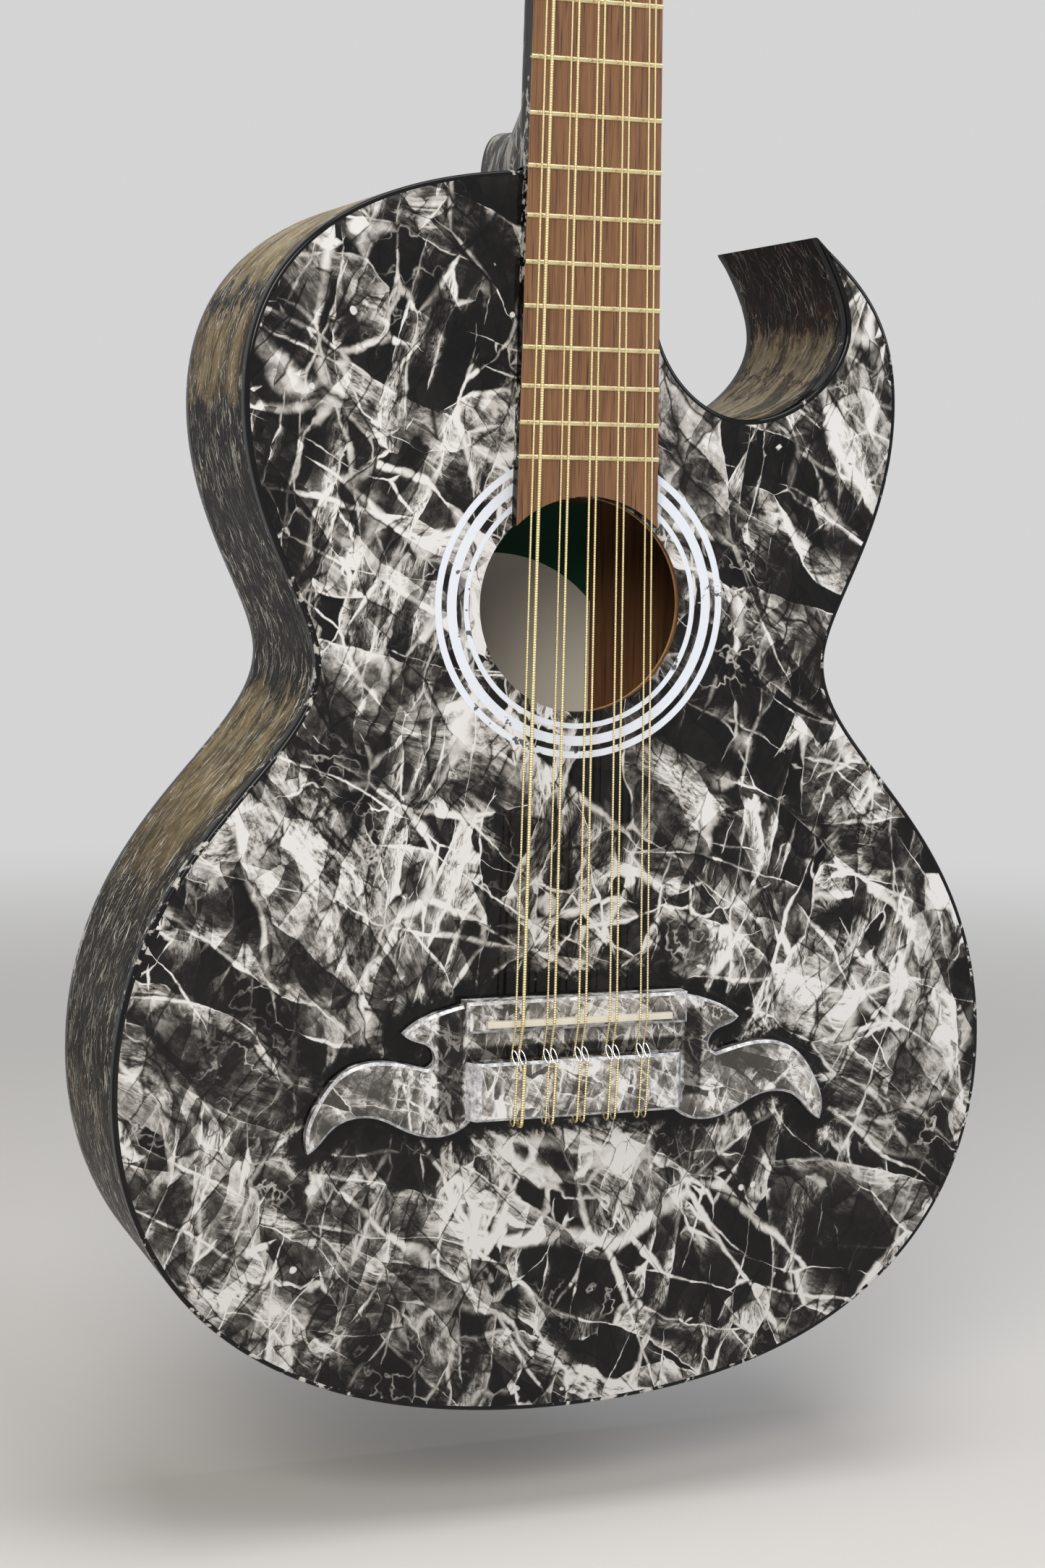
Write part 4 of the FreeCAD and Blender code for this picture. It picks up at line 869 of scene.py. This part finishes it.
def dressNeck():
    dressNode("neck", [neckLacquer], 0.0004)
    dressNode("headstock", [neckLacquer], 0.0006)
    dressNode("headstock_veneer", [topLacquer], 0.0003)
    dressNode("heel_cap", [edgeLacquer], 0.0004)
    dressNode("neck_bar", [maple])
    dressNode("fretboard", [granadillo, boardLacquer], choose=frontElseBack)
    dressNode("frets", [fretBrass])
    dressNode("nut", [bone], 0.0003)


def bevelElseRest(normal, centre):
    # 1 on the bevels round the bridge's front edges, which carry the painted highlight, 0 elsewhere
    lean = np.abs(normal[:, 1])
    return np.where((lean > 0.3) & (lean < 0.93), 1, 0)


def dressBridge():
    dressNode("bridge", [bridgeLacquer, bridgeEdgeHighlight], choose=bevelElseRest)
    dressNode("saddle", [bone], 0.0005)
    for course in range(1, 6):
        dressNode("string_course_%d" % course, [bronze])


machines = {"lean": 15.0, "wheelDepth": 5.5, "screwDepth": 1.35, "count": 10}     # degrees, mm, mm


def postWheelScrew(normal, centre):
    # 0 on the post, 1 on its worm wheel and 2 on the wheel's screw, by the depth from the very back
    lean = math.radians(machines["lean"])
    depth = 1000 * (centre[:, 1] * math.cos(lean) - centre[:, 2] * math.sin(lean))
    depth = depth.max() - depth
    return np.where(depth < machines["screwDepth"], 2, np.where(depth < machines["wheelDepth"], 1, 0))


def dressMachines():
    for name in ("post_bushings", "machine_plate_bass", "machine_plate_treble"):
        dressNode(name, [nickel])
    dressNode("plate_screws", [screwSteel])
    for machine in range(1, machines["count"] + 1):
        dressNode("tuner_post_%d" % machine, [nickel, wheelBrass, screwSteel], choose=postWheelScrew)
        dressNode("tuner_key_%d" % machine, [nickel])


dressBox()
dressNeck()
dressBridge()
dressMachines()
print("packed pieces dressed")


# ---- studio: pale floor, soft lamps, camera

studio = {
    "floorGap": 0.04, "floorHalf": 7.0, "floorColour": "#e6e4e1", "fade": (0.9, 2.4),
    "world": 0.20, "backdrop": 0.66,
    "lamps": [
        # place, aim, size, watts, colour
        ((-1.0, -1.9, 0.5), (0.0, 0.0, -0.5), 1.1, 34.0, "#fff8ef"),
        ((2.0, -1.3, 0.5), (0.0, 0.0, -0.5), 1.2, 19.0, "#eef3ff"),
        ((0.0, -0.5, 1.5), (0.0, 0.0, -0.4), 1.4, 24.0, "#ffffff"),
    ],
}


def seenOrMirrored(tree):
    # 1 for rays that show the backdrop, straight or by reflection, 0 for those that light things
    ray = put(tree, "LightPath").node.outputs
    shown = put(tree, "Math", {0: ray["Is Camera Ray"], 1: ray["Is Glossy Ray"]}, operation="MAXIMUM")
    return put(tree, "Math", {0: shown, 1: ray["Is Transmission Ray"]}, operation="MAXIMUM")


def floorMaterial():
    # painted board: even, pale and matte, keeping the shadow; far off it turns into the backdrop
    material, tree = startMaterial("paintedBoard")
    place = put(tree, "TexCoord", out="Object")
    cloud = put(tree, "TexNoise", {"Vector": place, "Scale": 2.0, "Detail": 2.0})
    level = put(tree, "MapRange", {"Value": cloud, "To Min": 0.98, "To Max": 1.02})
    paint = linear(studio["floorColour"])[:3]
    colour = put(tree, "VectorMath", {0: paint, "Scale": level}, operation="SCALE")
    board = put(tree, "BsdfPrincipled", {"Base Color": colour, "Roughness": 0.9, "Specular IOR Level": 0.2})
    flat = put(tree, "VectorMath", {0: place, 1: (1.0, 1.0, 0.0)}, operation="MULTIPLY")
    reach = put(tree, "VectorMath", {0: flat}, operation="LENGTH", out="Value")
    near, away = studio["fade"]
    far = put(tree, "MapRange", {"Value": reach, "From Min": near, "From Max": away},
              interpolation_type="SMOOTHSTEP")
    share = put(tree, "Math", {0: far, 1: seenOrMirrored(tree)}, operation="MULTIPLY")
    backdrop = put(tree, "Emission", {"Color": (1.0, 1.0, 1.0, 1.0), "Strength": studio["backdrop"]})
    put(tree, "OutputMaterial", {"Surface": put(tree, "MixShader", {0: share, 1: board, 2: backdrop})})
    return material


def buildStudio():
    floorZ = cadBox[0].z - studio["floorGap"]
    side = np.array([-studio["floorHalf"], studio["floorHalf"]])
    points = np.stack(np.broadcast_arrays(side[:, None], side[None, :], floorZ), axis=-1)
    faces = gridFaces(2, 2, False, False)[:, ::-1]
    floor = makePiece("studio_floor", points, faces, materials=[floorMaterial()])
    world = bpy.data.worlds.new("studioWorld")
    bpy.context.scene.world = world
    world.use_nodes = True
    tree = world.node_tree
    tree.nodes.clear()
    levels = {"Value": seenOrMirrored(tree), "To Min": studio["world"], "To Max": studio["backdrop"]}
    strength = put(tree, "MapRange", levels)
    light = put(tree, "Background", {"Color": (1.0, 1.0, 1.0, 1.0), "Strength": strength})
    put(tree, "OutputWorld", {"Surface": light})
    for number, (place, aim, size, watts, hexColour) in enumerate(studio["lamps"]):
        lamp = bpy.data.lights.new("softbox%d" % number, "AREA")
        lamp.shape = "SQUARE"
        lamp.size = size
        lamp.energy = watts
        lamp.color = linear(hexColour)[:3]
        holder = bpy.data.objects.new("softbox%d" % number, lamp)
        bpy.context.scene.collection.objects.link(holder)
        holder.visible_camera = False
        back = Vector(place) - Vector(aim)
        turn = back.to_track_quat("Z", "Y").to_matrix()
        holder.matrix_world = Matrix.Translation(place) @ turn.to_4x4()


camera = {
    "right": -0.43209, "away": 1.09395, "up": 0.23361,      # metres from the saddle's middle
    "yaw": 20.38, "pitch": 6.31, "roll": 1.08, "lens": 61.47, "film": 36.0,
}


def placeCamera():
    data = bpy.data.cameras.new("shopCamera")
    data.sensor_fit = "VERTICAL"
    data.sensor_height = camera["film"]
    data.lens = camera["lens"]
    data.clip_end = 30.0
    eye = bpy.data.objects.new("shopCamera", data)
    bpy.context.scene.collection.objects.link(eye)
    place = Matrix.Translation((camera["right"], faceY - camera["away"], saddleZ + camera["up"]))
    yaw = Matrix.Rotation(-math.radians(camera["yaw"]), 4, "Z")
    pitch = Matrix.Rotation(math.radians(90 - camera["pitch"]), 4, "X")
    roll = Matrix.Rotation(math.radians(camera["roll"]), 4, "Z")
    eye.matrix_world = place @ yaw @ pitch @ roll
    bpy.context.scene.camera = eye


buildStudio()
placeCamera()
bpy.context.scene.view_settings.view_transform = "Standard"
print("studio ready")

bpy.context.view_layer.update()
